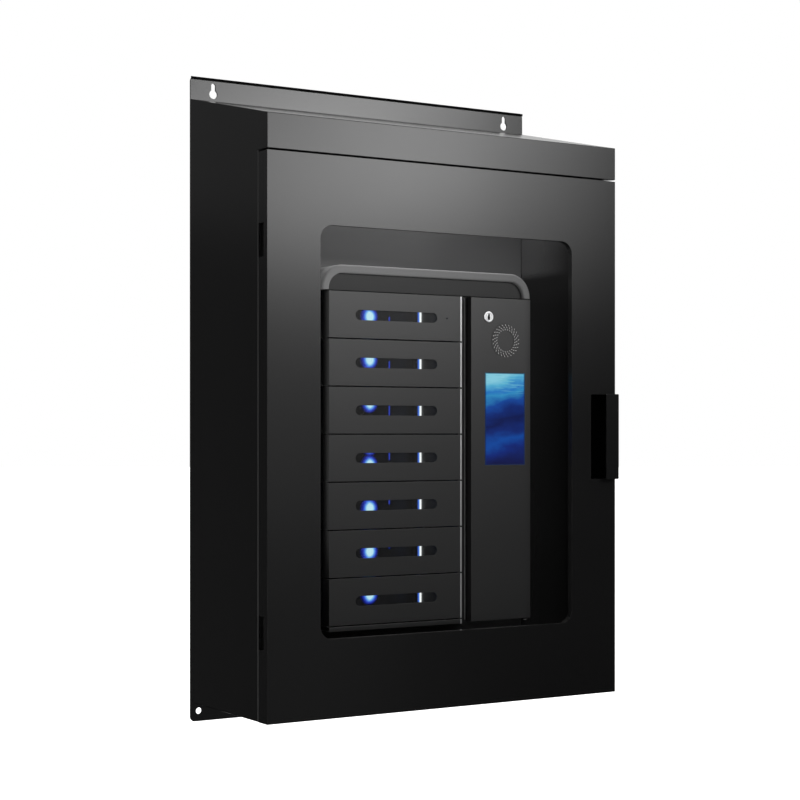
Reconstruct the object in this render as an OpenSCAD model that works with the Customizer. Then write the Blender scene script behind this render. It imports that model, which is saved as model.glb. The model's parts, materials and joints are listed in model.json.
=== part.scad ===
// Wall-hung steel cabinet with a windowed door, holding a charging locker with seven phone bays.
// Frame: the wall face is the plane y = 0 and the front looks along -Y. X runs from the hinge side
// to the pull side with x = 0 on the centre line, and z = 0 is the underside of the cabinet.
// All sizes are in millimetres.

/* [Cabinet] */
// Width of the cabinet and of its back plate
cabinet_w = 685; // [675:1:720]
// Depth from the wall to the face of the door
cabinet_d = 281; // [278:1:300]
// Height of the cabinet at its front
front_h = 951; // [930:1:1000]
// Height of the cabinet at the wall, where the sloped top starts
back_h = 1015; // [1005:1:1060]
// Height of the fixed header strip above the door
header_h = 56; // [40:1:70]
// Gap between the header and the door
header_gap = 2.5; // [1.5:0.5:4]
// Thickness of the cabinet's sheet
sheet_t = 2; // [1.5:0.5:2.5]
// Depth of the door pan's returns
door_return = 30; // [28:1:32]

/* [Wall plate] */
// Thickness of the back plate
plate_t = 3; // [2:0.5:4]
// Height of the flange above the cabinet
top_flange = 38; // [36:1:50]
// Height of the flange below the cabinet
bottom_flange = 33; // [28:1:45]
// Radius of the plate's corners
plate_corner_r = 8; // [2:1:14]
// Diameter of the round part of a keyhole
keyhole_d = 15; // [12:1:16]
// Width of the keyhole's neck
keyhole_neck_w = 8; // [5:1:9]
// Diameter of the lower fixing holes
fixing_hole_d = 11; // [6:1:13]

/* [Door window and pull] */
// Width of the window
window_w = 496; // [480:1:500]
// Height of the window
window_h = 656; // [640:1:660]
// Height of the window's lower edge
window_z = 126; // [120:1:127]
// Radius of the window's corners
window_r = 22; // [20:1:36]
// Width of the grip plate
grip_w = 27; // [20:1:34]
// Height of the grip plate
grip_h = 148; // [120:1:150]
// How far the grip plate stands in front of the door
grip_stand = 13; // [10:1:20]
// Middle height of the grip plate
grip_z = 446.5; // [440:0.5:450]
// Width of the finger recess cut in the door
recess_w = 51; // [45:1:54]

/* [Locker] */
// Width of the locker
locker_w = 416; // [414:1:420]
// Height of the locker
locker_h = 599; // [597:1:601]
// Height of the locker's underside
locker_z = 129; // [128:0.5:130]
// Distance from the door's face back to the locker's face
locker_set_back = 66; // [64:1:68]
// Depth of the locker's case
case_depth = 142.5; // [130:0.5:144]
// Thickness of the locker's sheet
case_t = 1.5; // [1:0.5:2]
// Outer radius of the arched cap
cap_r = 40; // [36:1:41]
// Width of the cap's rim
rim_w = 14; // [10:1:16]
// How far the cap's plate lies behind the rim
cap_recess = 8; // [4:1:8]

/* [Bays] */
// Height of one bay
bay_pitch = 78.3; // [78:0.1:78.3]
// Width of a bay door
bay_door_w = 259; // [256:1:259]
// Depth of a bay door's pan
bay_door_d = 22; // [21:1:23]
// Gap between two bay doors
bay_gap = 2; // [1.8:0.1:2.4]
// Length of the slot window in a bay door
slot_w = 159; // [120:1:170]
// Height of the slot window
slot_h = 16.4; // [10:0.2:20]

/* [Control column] */
// Width of the groove between the bay doors and the control column
groove_w = 19.5; // [18:0.5:20]
// Width of the screen
screen_w = 84; // [70:1:86]
// Height of the screen
screen_h = 159; // [120:1:170]
// Outer diameter of the speaker grille
speaker_d = 58; // [50:1:60]
// Diameter of the face of the cam lock
lock_face_d = 19; // [17:1:22]

/* [Hidden] */
$fn = 64;
eps = 1;                 // overshoot of a cutting solid
bay_count = 7;
BAYS = [1:bay_count];

// Cabinet
half_w = cabinet_w / 2;
front_y = -cabinet_d;                       // face of the door and of the header
header_z = front_h - header_h;              // underside of the header
door_top = header_z - header_gap;
side_front_y = front_y + door_return + 2;   // front edge of the side walls, 2 mm behind the door's returns
frame_y = side_front_y + sheet_t;           // face of the frame behind the door
frame_side_w = 42.5;                        // width of that frame's uprights
frame_bottom_z = 50;
frame_top_z = 880;
function top_z(y) = back_h + (back_h - front_h) * y / cabinet_d;   // outer height of the top at depth y

// Wall plate
plate_top = back_h + top_flange;
hem_h = 4;                                  // folded hem along the plate's top edge
hem_t = 1;
keyhole_x = half_w - 42.5;
keyhole_z = back_h + 11;
keyhole_rise = 14.5;                        // from the round part's centre to the neck's end centre
fixing_hole_x = half_w - 15.5;
fixing_hole_z = -15.5;

// Cable entry in the floor
cable_x = 250;
cable_y = -60;
cable_r = 10;
grommet_r = 14;                             // radius of the hole in the floor
grommet_lip_t = 2.5;

// Door hinges
hinge_x = -half_w + 7;
hinge_y = front_y + 18.5;
hinge_zs = [140, 754];
hinge_half_h = 26;
knuckle_r = 5;
pin_r = 2.5;
run_clear = 0.05;                           // radial clearance of a pin that turns
knuckle_split = 9;                          // half height of the middle knuckle
knuckle_gap = 0.3;                          // half of the end gap between knuckles
leaf_t = 2;
leaf_reach = 35;
notch_half_h = hinge_half_h + 0.5;
notch_front_y = front_y + 12;

// Door pull, catches and stiffeners
return_inner_x = half_w - sheet_t;          // inner face of the door's right return
cup_t = 1.5;
cup_back_y = front_y + 29;
grip_y = front_y - grip_stand;
magnet_x = 326;
magnet_zs = [300, 650];
strike_y = front_y + 19;
stiffener_x = 270;
stiffener_w = 28;
stiffener_d = 18;
stiffener_z = [60, 830];
window_lip = 10;                            // depth of the flange round the window

// Locker
locker_half = locker_w / 2;
locker_y = front_y + locker_set_back;       // face of the bay doors
case_front_y = locker_y + bay_door_d;
case_back_y = case_front_y + case_depth;
case_inner_y = case_back_y - case_t;        // inner face of the case's back wall
inner_half = locker_half - case_t;
locker_top = locker_z + locker_h;
bays_z = locker_z + 8.5;                    // middle of the gap below the lowest bay door
ceiling_z = bays_z + bay_count * bay_pitch;
cap_z = ceiling_z + 0.9;
shelf_t = 1.2;
bay_door_x = -locker_half + 13;             // left edge of the bay doors
bay_door_right = bay_door_x + bay_door_w;
bay_door_mid = (bay_door_x + bay_door_right) / 2;
divider_x = bay_door_right + 2;
rail_zs = [230, 600];
rail_half_h = 20;
rail_half_w = 200;
case_screw_x = 180;
screw_clear_r = 2.6;
function bay_mid(k) = bays_z + (bay_count - k + 0.5) * bay_pitch;  // bay 1 is the top one

// Bay door hinges and latches
bay_axis_x = bay_door_x + 6;
bay_axis_y = locker_y + 16;
bay_barrel_r = 4.5;
bay_barrel_h = 14;
ear_r = 5;
latch_y = case_front_y + 9;
latch_tab_x = divider_x - 22;
latch_box_x = divider_x - 16;
bolt_r = 3;
bolt_l = 15.5;
bolt_rest = 0.5;                           // how far a retracted bolt stands out of its box

// Lights and outlets inside a bay
lamp_x = -30;
lamp_rise = 10.9;
lamp_r = 9.5;
light_bar_y = [-84, -68.5];
outlet_x = -160;

// Control column
column_x = bay_door_right + groove_w;       // left edge of the service panel
column_right = locker_half - 0.5;
column_lo = locker_z + 2;
column_hi = ceiling_z - bay_gap / 2;
column_d = 14;                              // depth of the panel's returns
column_axis_x = locker_half - 5;
column_axis_y = locker_y + 9;
column_barrel_r = 3.8;
column_rod_r = 2;
column_barrel_zs = [160, 400, 655];
column_barrel_h = 30;
mullion_y = locker_y + 15;
lock_x = 119;
lock_z = 652;
lock_body_r = 8;
lock_nut_r = 12;
plug_r = 5.5;
cam_y = mullion_y + case_t + 1;
cam_t = 2.5;
cam_l = 42;
cam_w = 14;
screen_x = around(154, screen_w / 2);
screen_z = around(477, screen_h / 2);
speaker_x = 154;
speaker_z = 612;
skin_back_y = locker_y + case_t;            // rear of the locker's front skins

black = [0.09, 0.09, 0.1];
deep_black = [0.03, 0.03, 0.03];
bay_grey = [0.2, 0.2, 0.21];
rim_grey = [0.45, 0.45, 0.46];
steel = [0.7, 0.7, 0.72];

// Limits at half a size on each side of a middle.
function around(mid, half) = [mid - half, mid + half];

// Limits measured from a place.
function limits(at, lo, hi) = [at + lo, at + hi];

// Limits drawn in by d at both ends.
function inset(v, d) = [v[0] + d, v[1] - d];

// A box from its limits on X, Y and Z.
module block(x, y, z) {
    translate([x[0], y[0], z[0]]) cube([x[1] - x[0], y[1] - y[0], z[1] - z[0]]);
}

// A flat XZ outline, given depth between two values of y.
module plate(y) {
    translate([0, y[1], 0]) rotate([90, 0, 0]) linear_extrude(y[1] - y[0]) children();
}

// A flat YZ outline, given width between two values of x.
module bar(x) {
    translate([x[0], 0, 0]) rotate([90, 0, 90]) linear_extrude(x[1] - x[0]) children();
}

module upright(x, y, z, r) {
    translate([x, y, z[0]]) cylinder(r = r, h = z[1] - z[0]);
}

module along_y(x, y, z, r) {
    translate([x, y[0], z]) rotate([-90, 0, 0]) cylinder(r = r, h = y[1] - y[0]);
}

module along_x(x, y, z, r) {
    translate([x[0], y, z]) rotate([0, 90, 0]) cylinder(r = r, h = x[1] - x[0]);
}

// A rectangle from its limits, with round corners of radius r.
module rounded(x, z, r) {
    translate([x[0] + r, z[0]]) square([x[1] - x[0] - 2 * r, z[1] - z[0]]);
    translate([x[0], z[0] + r]) square([x[1] - x[0], z[1] - z[0] - 2 * r]);
    for (cx = [x[0] + r, x[1] - r], cz = [z[0] + r, z[1] - r]) translate([cx, cz]) circle(r);
}

// A rectangle whose two upper corners are round.
module arch(half, z, r) {
    intersection() {
        translate([-half, z[0]]) square([2 * half, z[1] - z[0]]);
        union() {
            translate([-half, z[0]]) square([2 * half, z[1] - z[0] - r]);
            translate([-half + r, z[0]]) square([2 * (half - r), z[1] - z[0]]);
            for (s = [-1, 1]) translate([s * (half - r), z[1] - r]) circle(r);
        }
    }
}

// Side view of the cabinet, drawn in by t.
module side_outline(t) {
    polygon([
        [-plate_t, t],
        [front_y + t, t],
        [front_y + t, top_z(front_y + t) - t],
        [-plate_t, top_z(-plate_t) - t]]);
}

// Outer cabinet

module back_plate() color(black) {
    difference() {
        plate([-plate_t, 0]) rounded([-half_w, half_w], [-bottom_flange, plate_top], plate_corner_r);
        for (s = [-1, 1]) {
            along_y(s * keyhole_x, [-plate_t - eps, eps], keyhole_z, keyhole_d / 2);
            along_y(s * keyhole_x, [-plate_t - eps, eps], keyhole_z + keyhole_rise, keyhole_neck_w / 2);
            block(around(s * keyhole_x, keyhole_neck_w / 2), [-plate_t - eps, eps],
                [keyhole_z, keyhole_z + keyhole_rise]);
            along_y(s * fixing_hole_x, [-plate_t - eps, eps], fixing_hole_z, fixing_hole_d / 2);
        }
    }
    block([-1, 1] * (half_w - plate_corner_r), [-plate_t - hem_t, -plate_t], [plate_top - hem_h, plate_top]);
}

module cabinet_shell() color(black) {
    difference() {
        bar([-half_w, half_w]) side_outline(0);
        difference() {
            bar([-1, 1] * (half_w - sheet_t)) side_outline(sheet_t);
            block([-half_w, half_w], [front_y, frame_y + sheet_t], [header_z, header_z + sheet_t]);
        }
        block([-1, 1] * (half_w + eps), [front_y - eps, side_front_y], [-eps, header_z]);
        upright(cable_x, cable_y, [-eps, sheet_t + eps], grommet_r);
    }
}

module front_frame() color(black) {
    difference() {
        block([-1, 1] * (half_w - sheet_t), [frame_y, frame_y + sheet_t], [sheet_t, header_z]);
        block([-1, 1] * (half_w - frame_side_w), [frame_y - eps, frame_y + sheet_t + eps],
            [frame_bottom_z, frame_top_z]);
    }
}

// Fixed half of each door hinge: the outer knuckles, a web back to the frame and a leaf on it.
module door_hinge_bases() color(steel)
    for (hz = hinge_zs) difference() {
        union() {
            for (s = [-1, 1]) {
                zs = hz + s * ((hinge_half_h + knuckle_split + knuckle_gap) / 2);
                half = (hinge_half_h - knuckle_split - knuckle_gap) / 2;
                upright(hinge_x, hinge_y, around(zs, half), knuckle_r);
                block(limits(hinge_x, -1, leaf_t - 0.5), [hinge_y, frame_y], around(zs, half));
            }
            block(limits(hinge_x, -1, leaf_reach), [frame_y - leaf_t - 0.4, frame_y],
                around(hz, hinge_half_h));
        }
        upright(hinge_x, hinge_y, around(hz, hinge_half_h + eps), pin_r + run_clear);
    }

module door_hinge_pins() color(steel)
    for (hz = hinge_zs) {
        upright(hinge_x, hinge_y, limits(hz, -hinge_half_h, hinge_half_h + 0.5), pin_r);
        upright(hinge_x, hinge_y, limits(hz + hinge_half_h, 0, 2), pin_r + 1.5);
    }

module catch_magnets() color(deep_black)
    for (mz = magnet_zs) block(around(magnet_x, 8), [strike_y + 2.5, frame_y], around(mz, 22));

// Channel rails on the back plate, which carry the case.
module mounting_rails() color(steel)
    for (rz = rail_zs) difference() {
        block([-1, 1] * rail_half_w, [case_back_y, -plate_t], around(rz, rail_half_h));
        block([-1, 1] * (rail_half_w + eps), [case_back_y + sheet_t, -plate_t + eps],
            around(rz, rail_half_h - sheet_t));
        for (s = [-1, 1]) along_y(s * case_screw_x, limits(case_back_y, -eps, 4), rz, screw_clear_r);
    }

module power_supply() color(steel) {
    face_y = -41;
    block([-80, 80], [face_y, -plate_t], [330, 500]);
    block([-70, 70], limits(face_y, -3, 0), [334, 346]);      // terminal strip
}

module cable_grommet() color(deep_black)
    difference() {
        union() {
            upright(cable_x, cable_y, [-grommet_lip_t, 0], grommet_r + 3);
            upright(cable_x, cable_y, [0, sheet_t], grommet_r);
            upright(cable_x, cable_y, limits(sheet_t, 0, grommet_lip_t), grommet_r + 3);
        }
        upright(cable_x, cable_y, limits(0, -grommet_lip_t - eps, sheet_t + grommet_lip_t + eps), cable_r);
    }

// Outer door

module door_panel() color(black)
    difference() {
        union() {
            difference() {
                block([-1, 1] * half_w, [front_y, front_y + door_return], [0, door_top]);
                block([-1, 1] * (half_w - sheet_t), [front_y + sheet_t, front_y + door_return + eps],
                    [sheet_t, door_top - sheet_t]);
            }
            plate([front_y, front_y + window_lip]) rounded(
                [-1, 1] * (window_w / 2 + sheet_t), limits(window_z, -sheet_t, window_h + sheet_t),
                window_r + sheet_t);
        }
        plate([front_y - eps, front_y + window_lip + eps]) rounded(
            [-1, 1] * window_w / 2, limits(window_z, 0, window_h), window_r);
        plate([front_y - eps, front_y + sheet_t + eps]) rounded(
            [return_inner_x - recess_w, return_inner_x], around(grip_z, grip_h / 2 - 0.5), 2);
        for (hz = hinge_zs)
            block([-half_w - eps, -half_w + sheet_t + eps], [notch_front_y, front_y + door_return + eps],
                around(hz, notch_half_h));
    }

// Channels behind the skin, one on each side of the window.
module door_stiffeners() color(black)
    for (s = [-1, 1]) difference() {
        block(around(s * stiffener_x, stiffener_w / 2), limits(front_y, sheet_t, stiffener_d + sheet_t),
            stiffener_z);
        block(around(s * stiffener_x, stiffener_w / 2 - cup_t),
            limits(front_y, sheet_t - eps, stiffener_d + sheet_t - cup_t), inset(stiffener_z, -eps));
    }

// Moving half of each door hinge: the middle knuckle, a web and a leaf on the skin.
module door_hinge_leaves() color(steel)
    for (hz = hinge_zs) difference() {
        half = knuckle_split - knuckle_gap;
        union() {
            upright(hinge_x, hinge_y, around(hz, half), knuckle_r);
            block(limits(hinge_x, 0.5 - leaf_t, 1), [front_y + sheet_t, hinge_y], around(hz, half));
            block(limits(hinge_x, 0.5 - leaf_t, leaf_reach), limits(front_y, sheet_t, sheet_t + leaf_t),
                around(hz, hinge_half_h));
        }
        upright(hinge_x, hinge_y, around(hz, hinge_half_h + eps), pin_r + run_clear);
    }

// Angle through the recess: a leg on the door's right return and the grip plate in front.
module pull_plate() color(black) {
    block([return_inner_x - sheet_t, return_inner_x], [grip_y, front_y + 20], around(grip_z, grip_h / 2 - 1));
    plate([grip_y, grip_y + sheet_t])
        rounded([return_inner_x - grip_w, return_inner_x], around(grip_z, grip_h / 2), 2);
}

module pull_cup() color(deep_black) {
    cup_x = [return_inner_x - sheet_t - recess_w, return_inner_x - sheet_t];
    cup_z = around(grip_z, grip_h / 2 + cup_t);
    difference() {
        block(cup_x, [front_y + sheet_t, cup_back_y], cup_z);
        block(inset(cup_x, cup_t), [front_y + sheet_t - eps, cup_back_y - cup_t], inset(cup_z, cup_t));
    }
}

module door_strikes() color(steel)
    for (mz = magnet_zs) {
        block([magnet_x - 10, return_inner_x], limits(strike_y, 0, sheet_t), around(mz, 20));
        block([return_inner_x - sheet_t, return_inner_x], [strike_y - 14, strike_y], around(mz, 20));
    }

// Charging locker

module locker_case() color(black)
    difference() {
        union() {
            difference() {
                plate([case_front_y, case_back_y]) arch(locker_half, [locker_z, locker_top], cap_r);
                plate([case_front_y - eps, case_inner_y])
                    arch(inner_half, [locker_z + case_t, locker_top - case_t], cap_r - case_t);
            }
            rod_ear(column_axis_x, column_axis_y, [locker_z, locker_z + case_t]);
        }
        upright(column_axis_x, column_axis_y, [locker_z - eps, locker_z + 3], column_rod_r + run_clear);
        for (s = [-1, 1], rz = rail_zs) along_y(s * case_screw_x, [case_inner_y - eps, case_back_y + eps], rz,
            screw_clear_r);
    }

// Tongue in front of the case that carries a hinge rod.
module rod_ear(x, y, z) {
    upright(x, y, z, ear_r);
    block(around(x, ear_r), [y, case_front_y], z);
}

// The floor of each bay, and the ceiling that also spans the control column.
module bay_shelves() color(black)
    for (n = [0:bay_count]) {
        z = around(bays_z + n * bay_pitch, shelf_t / 2);
        top = n == bay_count;
        difference() {
            union() {
                block([-inner_half, top ? inner_half : divider_x], [case_front_y, case_inner_y], z);
                rod_ear(bay_axis_x, bay_axis_y, z);
                if (top) rod_ear(column_axis_x, column_axis_y, z);
            }
            upright(bay_axis_x, bay_axis_y, inset(z, -eps), pin_r + run_clear);
            if (top) upright(column_axis_x, column_axis_y, inset(z, -eps), column_rod_r + run_clear);
        }
    }

module bay_divider() color(black)
    block([divider_x, divider_x + case_t], [mullion_y + case_t, case_inner_y],
        [locker_z + case_t, ceiling_z - shelf_t / 2]);

// Strip at the bottom of the groove beside the bay doors, with a thin bead.
module mullion() color(black) {
    z = [locker_z + case_t, ceiling_z - shelf_t / 2];
    block([divider_x, column_x + 1], [mullion_y, mullion_y + case_t], z);
    block([column_x - 2.5, column_x - 1], [mullion_y - 1.5, mullion_y], z);
}

module bottom_filler() color(bay_grey) {
    block([bay_door_x, bay_door_right], [locker_y, skin_back_y], [locker_z, bays_z - bay_gap / 2]);
    block([bay_door_x, bay_door_right], [skin_back_y, case_front_y], [locker_z, locker_z + case_t]);
}

// Section of the cap's rim: radius from the corner's centre across, depth from the case's front up.
module rim_section() {
    soft = 4;
    translate([cap_r - rim_w, 0]) square([rim_w, bay_door_d - soft]);
    translate([cap_r - rim_w + soft, 0]) square([rim_w - 2 * soft, bay_door_d]);
    for (r = [cap_r - rim_w + soft, cap_r - soft]) translate([r, bay_door_d - soft]) circle(soft);
}

module cap_rim() color(rim_grey) {
    corner_x = locker_half - cap_r;
    corner_z = locker_top - cap_r;
    for (s = [0, 1]) mirror([s, 0, 0]) translate([corner_x, case_front_y, corner_z]) {
        rotate([90, 0, 0]) rotate_extrude(angle = 90) rim_section();
        translate([0, 0, cap_z - corner_z]) linear_extrude(corner_z - cap_z) mirror([0, 1]) rim_section();
    }
    translate([0, case_front_y, corner_z]) bar([-corner_x, corner_x]) rotate(90) rim_section();
}

module cap_plate() color(bay_grey)
    plate(limits(locker_y, cap_recess, cap_recess + 2))
        arch(locker_half - rim_w, [cap_z, locker_top - rim_w], cap_r - rim_w);

// Two round lamps on the back wall of each bay.
module bay_lamps() color([0.8, 0.9, 1])
    for (k = BAYS, s = [-1, 1])
        along_y(lamp_x, limits(case_inner_y, -6, 0), bay_mid(k) + s * lamp_rise, lamp_r);

module bay_light_bars() color([0.8, 0.9, 1])
    for (k = BAYS) block(limits(divider_x, -3, 0), light_bar_y, around(bay_mid(k), 34));

// Two flat charging sockets on the back wall of each bay.
module charge_outlets() color(deep_black)
    for (k = BAYS) difference() {
        block(around(outlet_x, 15), limits(case_inner_y, -10, 0), around(bay_mid(k), 9));
        for (s = [-1, 1]) block(around(outlet_x + 7 * s, 4.5), limits(case_inner_y, -10 - eps, -3),
            around(bay_mid(k), 1.6));
    }

module latch_modules() color(deep_black)
    for (k = BAYS) difference() {
        block([latch_box_x, divider_x], limits(latch_y, -8, 20), around(bay_mid(k), 14));
        along_x([latch_box_x - eps, divider_x], latch_y, bay_mid(k), bolt_r + run_clear);
    }

module bay_hinge_rod() color(steel) {
    upright(bay_axis_x, bay_axis_y, [bays_z - shelf_t / 2 - 0.5, ceiling_z + shelf_t / 2], pin_r);
    upright(bay_axis_x, bay_axis_y, limits(bays_z - shelf_t / 2, -1.5, 0), pin_r + 1.5);
}

module service_hinge_rod() color(steel) {
    upright(column_axis_x, column_axis_y, [locker_z - 0.5, ceiling_z + shelf_t / 2], column_rod_r);
    upright(column_axis_x, column_axis_y, [locker_z - 1.5, locker_z], column_rod_r + 1.5);
}

module control_board() color([0.1, 0.3, 0.15]) {
    board_x = [85, 190];
    board_z = [250, 400];
    block(board_x, limits(case_inner_y, -8, -6.4), board_z);
    for (x = inset(board_x, 6), z = inset(board_z, 6))
        along_y(x, limits(case_inner_y, -6.4, 0), z, 3);
    block([105, 135], limits(case_inner_y, -11, -8), [310, 340]);    // processor
    for (z = [265:18:355]) block([164, 182], limits(case_inner_y, -18, -8), [z, z + 12]);   // cable sockets
}

module case_screws() color(steel)
    for (s = [-1, 1], rz = rail_zs) {
        along_y(s * case_screw_x, limits(case_inner_y, -3, 0), rz, 5);
        along_y(s * case_screw_x, [case_inner_y - 1, case_back_y + 8], rz, 2.5);
    }

// Bays

module bay_door(k) color(bay_grey) {
    z = around(bay_mid(k), (bay_pitch - bay_gap) / 2);
    x = [bay_door_x, bay_door_right];
    difference() {
        union() {
            difference() {
                block(x, [locker_y, case_front_y], z);
                block(inset(x, case_t), [skin_back_y, case_front_y + eps], inset(z, case_t));
            }
            for (zb = [[z[0], z[0] + bay_barrel_h], [z[1] - bay_barrel_h, z[1]]]) {
                upright(bay_axis_x, bay_axis_y, zb, bay_barrel_r);
                block([bay_door_x + 1, bay_axis_x], around(bay_axis_y, 2), zb);
            }
            block(limits(latch_tab_x, 0, case_t), [skin_back_y - 0.5, latch_y + 7], around(bay_mid(k), 9));
        }
        upright(bay_axis_x, bay_axis_y, inset(z, -eps), pin_r + run_clear);
        along_x(limits(latch_tab_x, -eps, case_t + eps), latch_y, bay_mid(k), bolt_r + 1.5);
        plate([locker_y - eps, skin_back_y + eps]) rounded(
            around(bay_door_mid, slot_w / 2), around(bay_mid(k), slot_h / 2), slot_h / 2 - 0.01);
        if (k == 1) along_y(bay_door_right - 30, [locker_y - eps, skin_back_y + eps], bay_mid(k), 1.2);
    }
}

// Dark pane behind the slot of a bay door.
module bay_window(k) color(deep_black)
    block(around(bay_door_mid, slot_w / 2 + 6), limits(skin_back_y, 0, 2),
        around(bay_mid(k), slot_h / 2 + 5));

module latch_bolt(k) color(steel)
    along_x(limits(latch_box_x - bolt_rest, 0, bolt_l), latch_y, bay_mid(k), bolt_r);

// Control column

module service_panel() color(bay_grey)
    difference() {
        x = [column_x, column_right];
        z = [column_lo, column_hi];
        union() {
            difference() {
                block(x, [locker_y, locker_y + column_d], z);
                block(inset(x, case_t), [skin_back_y, locker_y + column_d + eps], inset(z, case_t));
            }
            for (bz = column_barrel_zs)
                upright(column_axis_x, column_axis_y, around(bz, column_barrel_h / 2), column_barrel_r);
        }
        upright(column_axis_x, column_axis_y, inset(z, -eps), column_rod_r + run_clear);
        block(screen_x, [locker_y - eps, skin_back_y + eps], screen_z);
        along_y(speaker_x, [locker_y - eps, skin_back_y + eps], speaker_z, speaker_d / 2);
        along_y(lock_x, [locker_y - eps, skin_back_y + eps], lock_z, lock_body_r);
    }

module display_module() color(deep_black)
    block(screen_x + [-4, 1.5], limits(skin_back_y, 0, 10.5), inset(screen_z, -5));

module screen_glass() color([0.15, 0.35, 0.8])
    block(inset(screen_x, 0.2), [locker_y + 0.3, skin_back_y], inset(screen_z, 0.2));

module speaker() color(deep_black) {
    along_y(speaker_x, limits(skin_back_y, 0, 2), speaker_z, speaker_d / 2 + 3);
    along_y(speaker_x, limits(skin_back_y, 2, 16), speaker_z, 16);
}

// Disc in the panel's round hole, with rings of small holes round a plain middle.
module speaker_grille() color(bay_grey)
    translate([speaker_x, 0, speaker_z]) plate([locker_y, skin_back_y]) difference() {
        circle(speaker_d / 2 - 0.1);
        for (ring = [0:4], a = [0:12:359])
            rotate(a + 4.5 * ring) translate([18.4 + 2.2 * ring, 0]) circle(0.75, $fn = 6);
    }

module lock_barrel() color(steel)
    difference() {
        union() {
            along_y(lock_x, [locker_y - 2, locker_y], lock_z, lock_face_d / 2);
            along_y(lock_x, [locker_y, cam_y - 0.6], lock_z, lock_body_r - 0.1);
            translate([lock_x, 0, lock_z]) plate(limits(skin_back_y, 0, 4)) circle(lock_nut_r, $fn = 6);
        }
        along_y(lock_x, [locker_y - 3, cam_y], lock_z, plug_r + run_clear);
    }

// Key plug with an upright key slot; its tail carries the cam.
module lock_plug() color(steel)
    difference() {
        along_y(lock_x, [locker_y - 1.6, cam_y], lock_z, plug_r);
        block(around(lock_x, 1), limits(locker_y, -3, 4), around(lock_z, 3.6));
    }

// Cam of the lock, hanging down when unlocked; a quarter turn brings it behind the mullion.
module lock_cam() color(steel)
    plate([cam_y, cam_y + cam_t]) {
        translate([lock_x, lock_z]) circle(plug_r + 2.5);
        translate([lock_x - cam_w / 2, lock_z - cam_l]) square([cam_w, cam_l]);
    }

back_plate();
cabinet_shell();
front_frame();
door_hinge_bases();
door_hinge_pins();
catch_magnets();
mounting_rails();
power_supply();
cable_grommet();
door_panel();
door_stiffeners();
door_hinge_leaves();
pull_plate();
pull_cup();
door_strikes();
locker_case();
bay_shelves();
bay_divider();
mullion();
bottom_filler();
cap_rim();
cap_plate();
bay_lamps();
bay_light_bars();
charge_outlets();
latch_modules();
bay_hinge_rod();
service_hinge_rod();
control_board();
case_screws();
service_panel();
display_module();
screen_glass();
speaker();
speaker_grille();
lock_barrel();
lock_plug();
lock_cam();
for (k = BAYS) {
    bay_door(k);
    bay_window(k);
    latch_bolt(k);
}
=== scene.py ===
"""Looks of a wall cabinet that holds a phone charging locker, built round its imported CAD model.

Every length is in metres in the CAD's own frame: the wall face is the plane y = 0 and the front looks along -Y, X runs
from the hinge side to the pull side, and z = 0 is the underside of the cabinet.
"""

import json
import logging
import math
from collections.abc import Sequence
from dataclasses import dataclass, field
from enum import Enum

import bmesh
import bpy
from mathutils import Matrix, Vector

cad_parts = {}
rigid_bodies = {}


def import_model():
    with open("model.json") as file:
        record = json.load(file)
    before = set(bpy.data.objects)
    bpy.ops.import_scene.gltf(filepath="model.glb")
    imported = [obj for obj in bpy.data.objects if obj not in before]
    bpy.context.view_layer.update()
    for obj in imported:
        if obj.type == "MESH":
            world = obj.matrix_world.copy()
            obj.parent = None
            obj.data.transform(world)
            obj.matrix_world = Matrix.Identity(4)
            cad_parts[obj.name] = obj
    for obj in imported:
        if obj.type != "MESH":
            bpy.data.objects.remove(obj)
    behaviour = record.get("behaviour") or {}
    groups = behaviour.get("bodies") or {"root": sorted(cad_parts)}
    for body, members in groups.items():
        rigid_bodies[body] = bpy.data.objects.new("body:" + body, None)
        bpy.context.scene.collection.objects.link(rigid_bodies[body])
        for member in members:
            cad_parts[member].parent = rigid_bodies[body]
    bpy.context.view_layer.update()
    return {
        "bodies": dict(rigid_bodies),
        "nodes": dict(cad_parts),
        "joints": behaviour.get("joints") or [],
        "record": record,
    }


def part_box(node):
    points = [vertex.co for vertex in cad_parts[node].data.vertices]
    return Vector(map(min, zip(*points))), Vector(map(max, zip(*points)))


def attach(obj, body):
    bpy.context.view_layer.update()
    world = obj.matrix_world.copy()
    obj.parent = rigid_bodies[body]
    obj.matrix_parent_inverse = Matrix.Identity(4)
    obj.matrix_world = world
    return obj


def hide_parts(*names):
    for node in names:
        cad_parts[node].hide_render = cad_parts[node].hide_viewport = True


log = logging.getLogger("cabinet")

Colour = tuple[float, float, float]
Point2 = tuple[float, float]
Point3 = tuple[float, float, float]
Stops = tuple[tuple[float, Colour], ...]
Given = dict[str | int, object]
Socket = bpy.types.NodeSocket

BAYS = range(1, 8)
BAY_PITCH = 0.0783
LOCKER_FACE = -0.215
STRIP_W = 0.0032
WHITE: Colour = (1.0, 1.0, 1.0)


# Choices


class Body(Enum):
    """The moving bodies that pieces ride on. A bay adds its number."""

    CABINET = "cabinet"
    DOOR = "door"
    BAY = "bay_"
    COLUMN = "column"
    LOCK = "lock"


class Slot(Enum):
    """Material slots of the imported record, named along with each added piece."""

    CABINET_PAINT = "cabinet_paint"
    LOCKER_PAINT = "locker_paint"
    PLATED_STEEL = "plated_steel"
    HOUSING = "housing_aluminium"
    LOCK_CHROME = "lock_chrome"
    BAY_LIGHT = "bay_light"
    BOARD = "circuit_board"


class Maths(Enum):
    """Operations of a Math node."""

    ADD = "ADD"
    TAKE = "SUBTRACT"
    TIMES = "MULTIPLY"
    OVER = "DIVIDE"
    MOST = "MAXIMUM"
    LEAST = "MINIMUM"
    SIZE = "ABSOLUTE"


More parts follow.
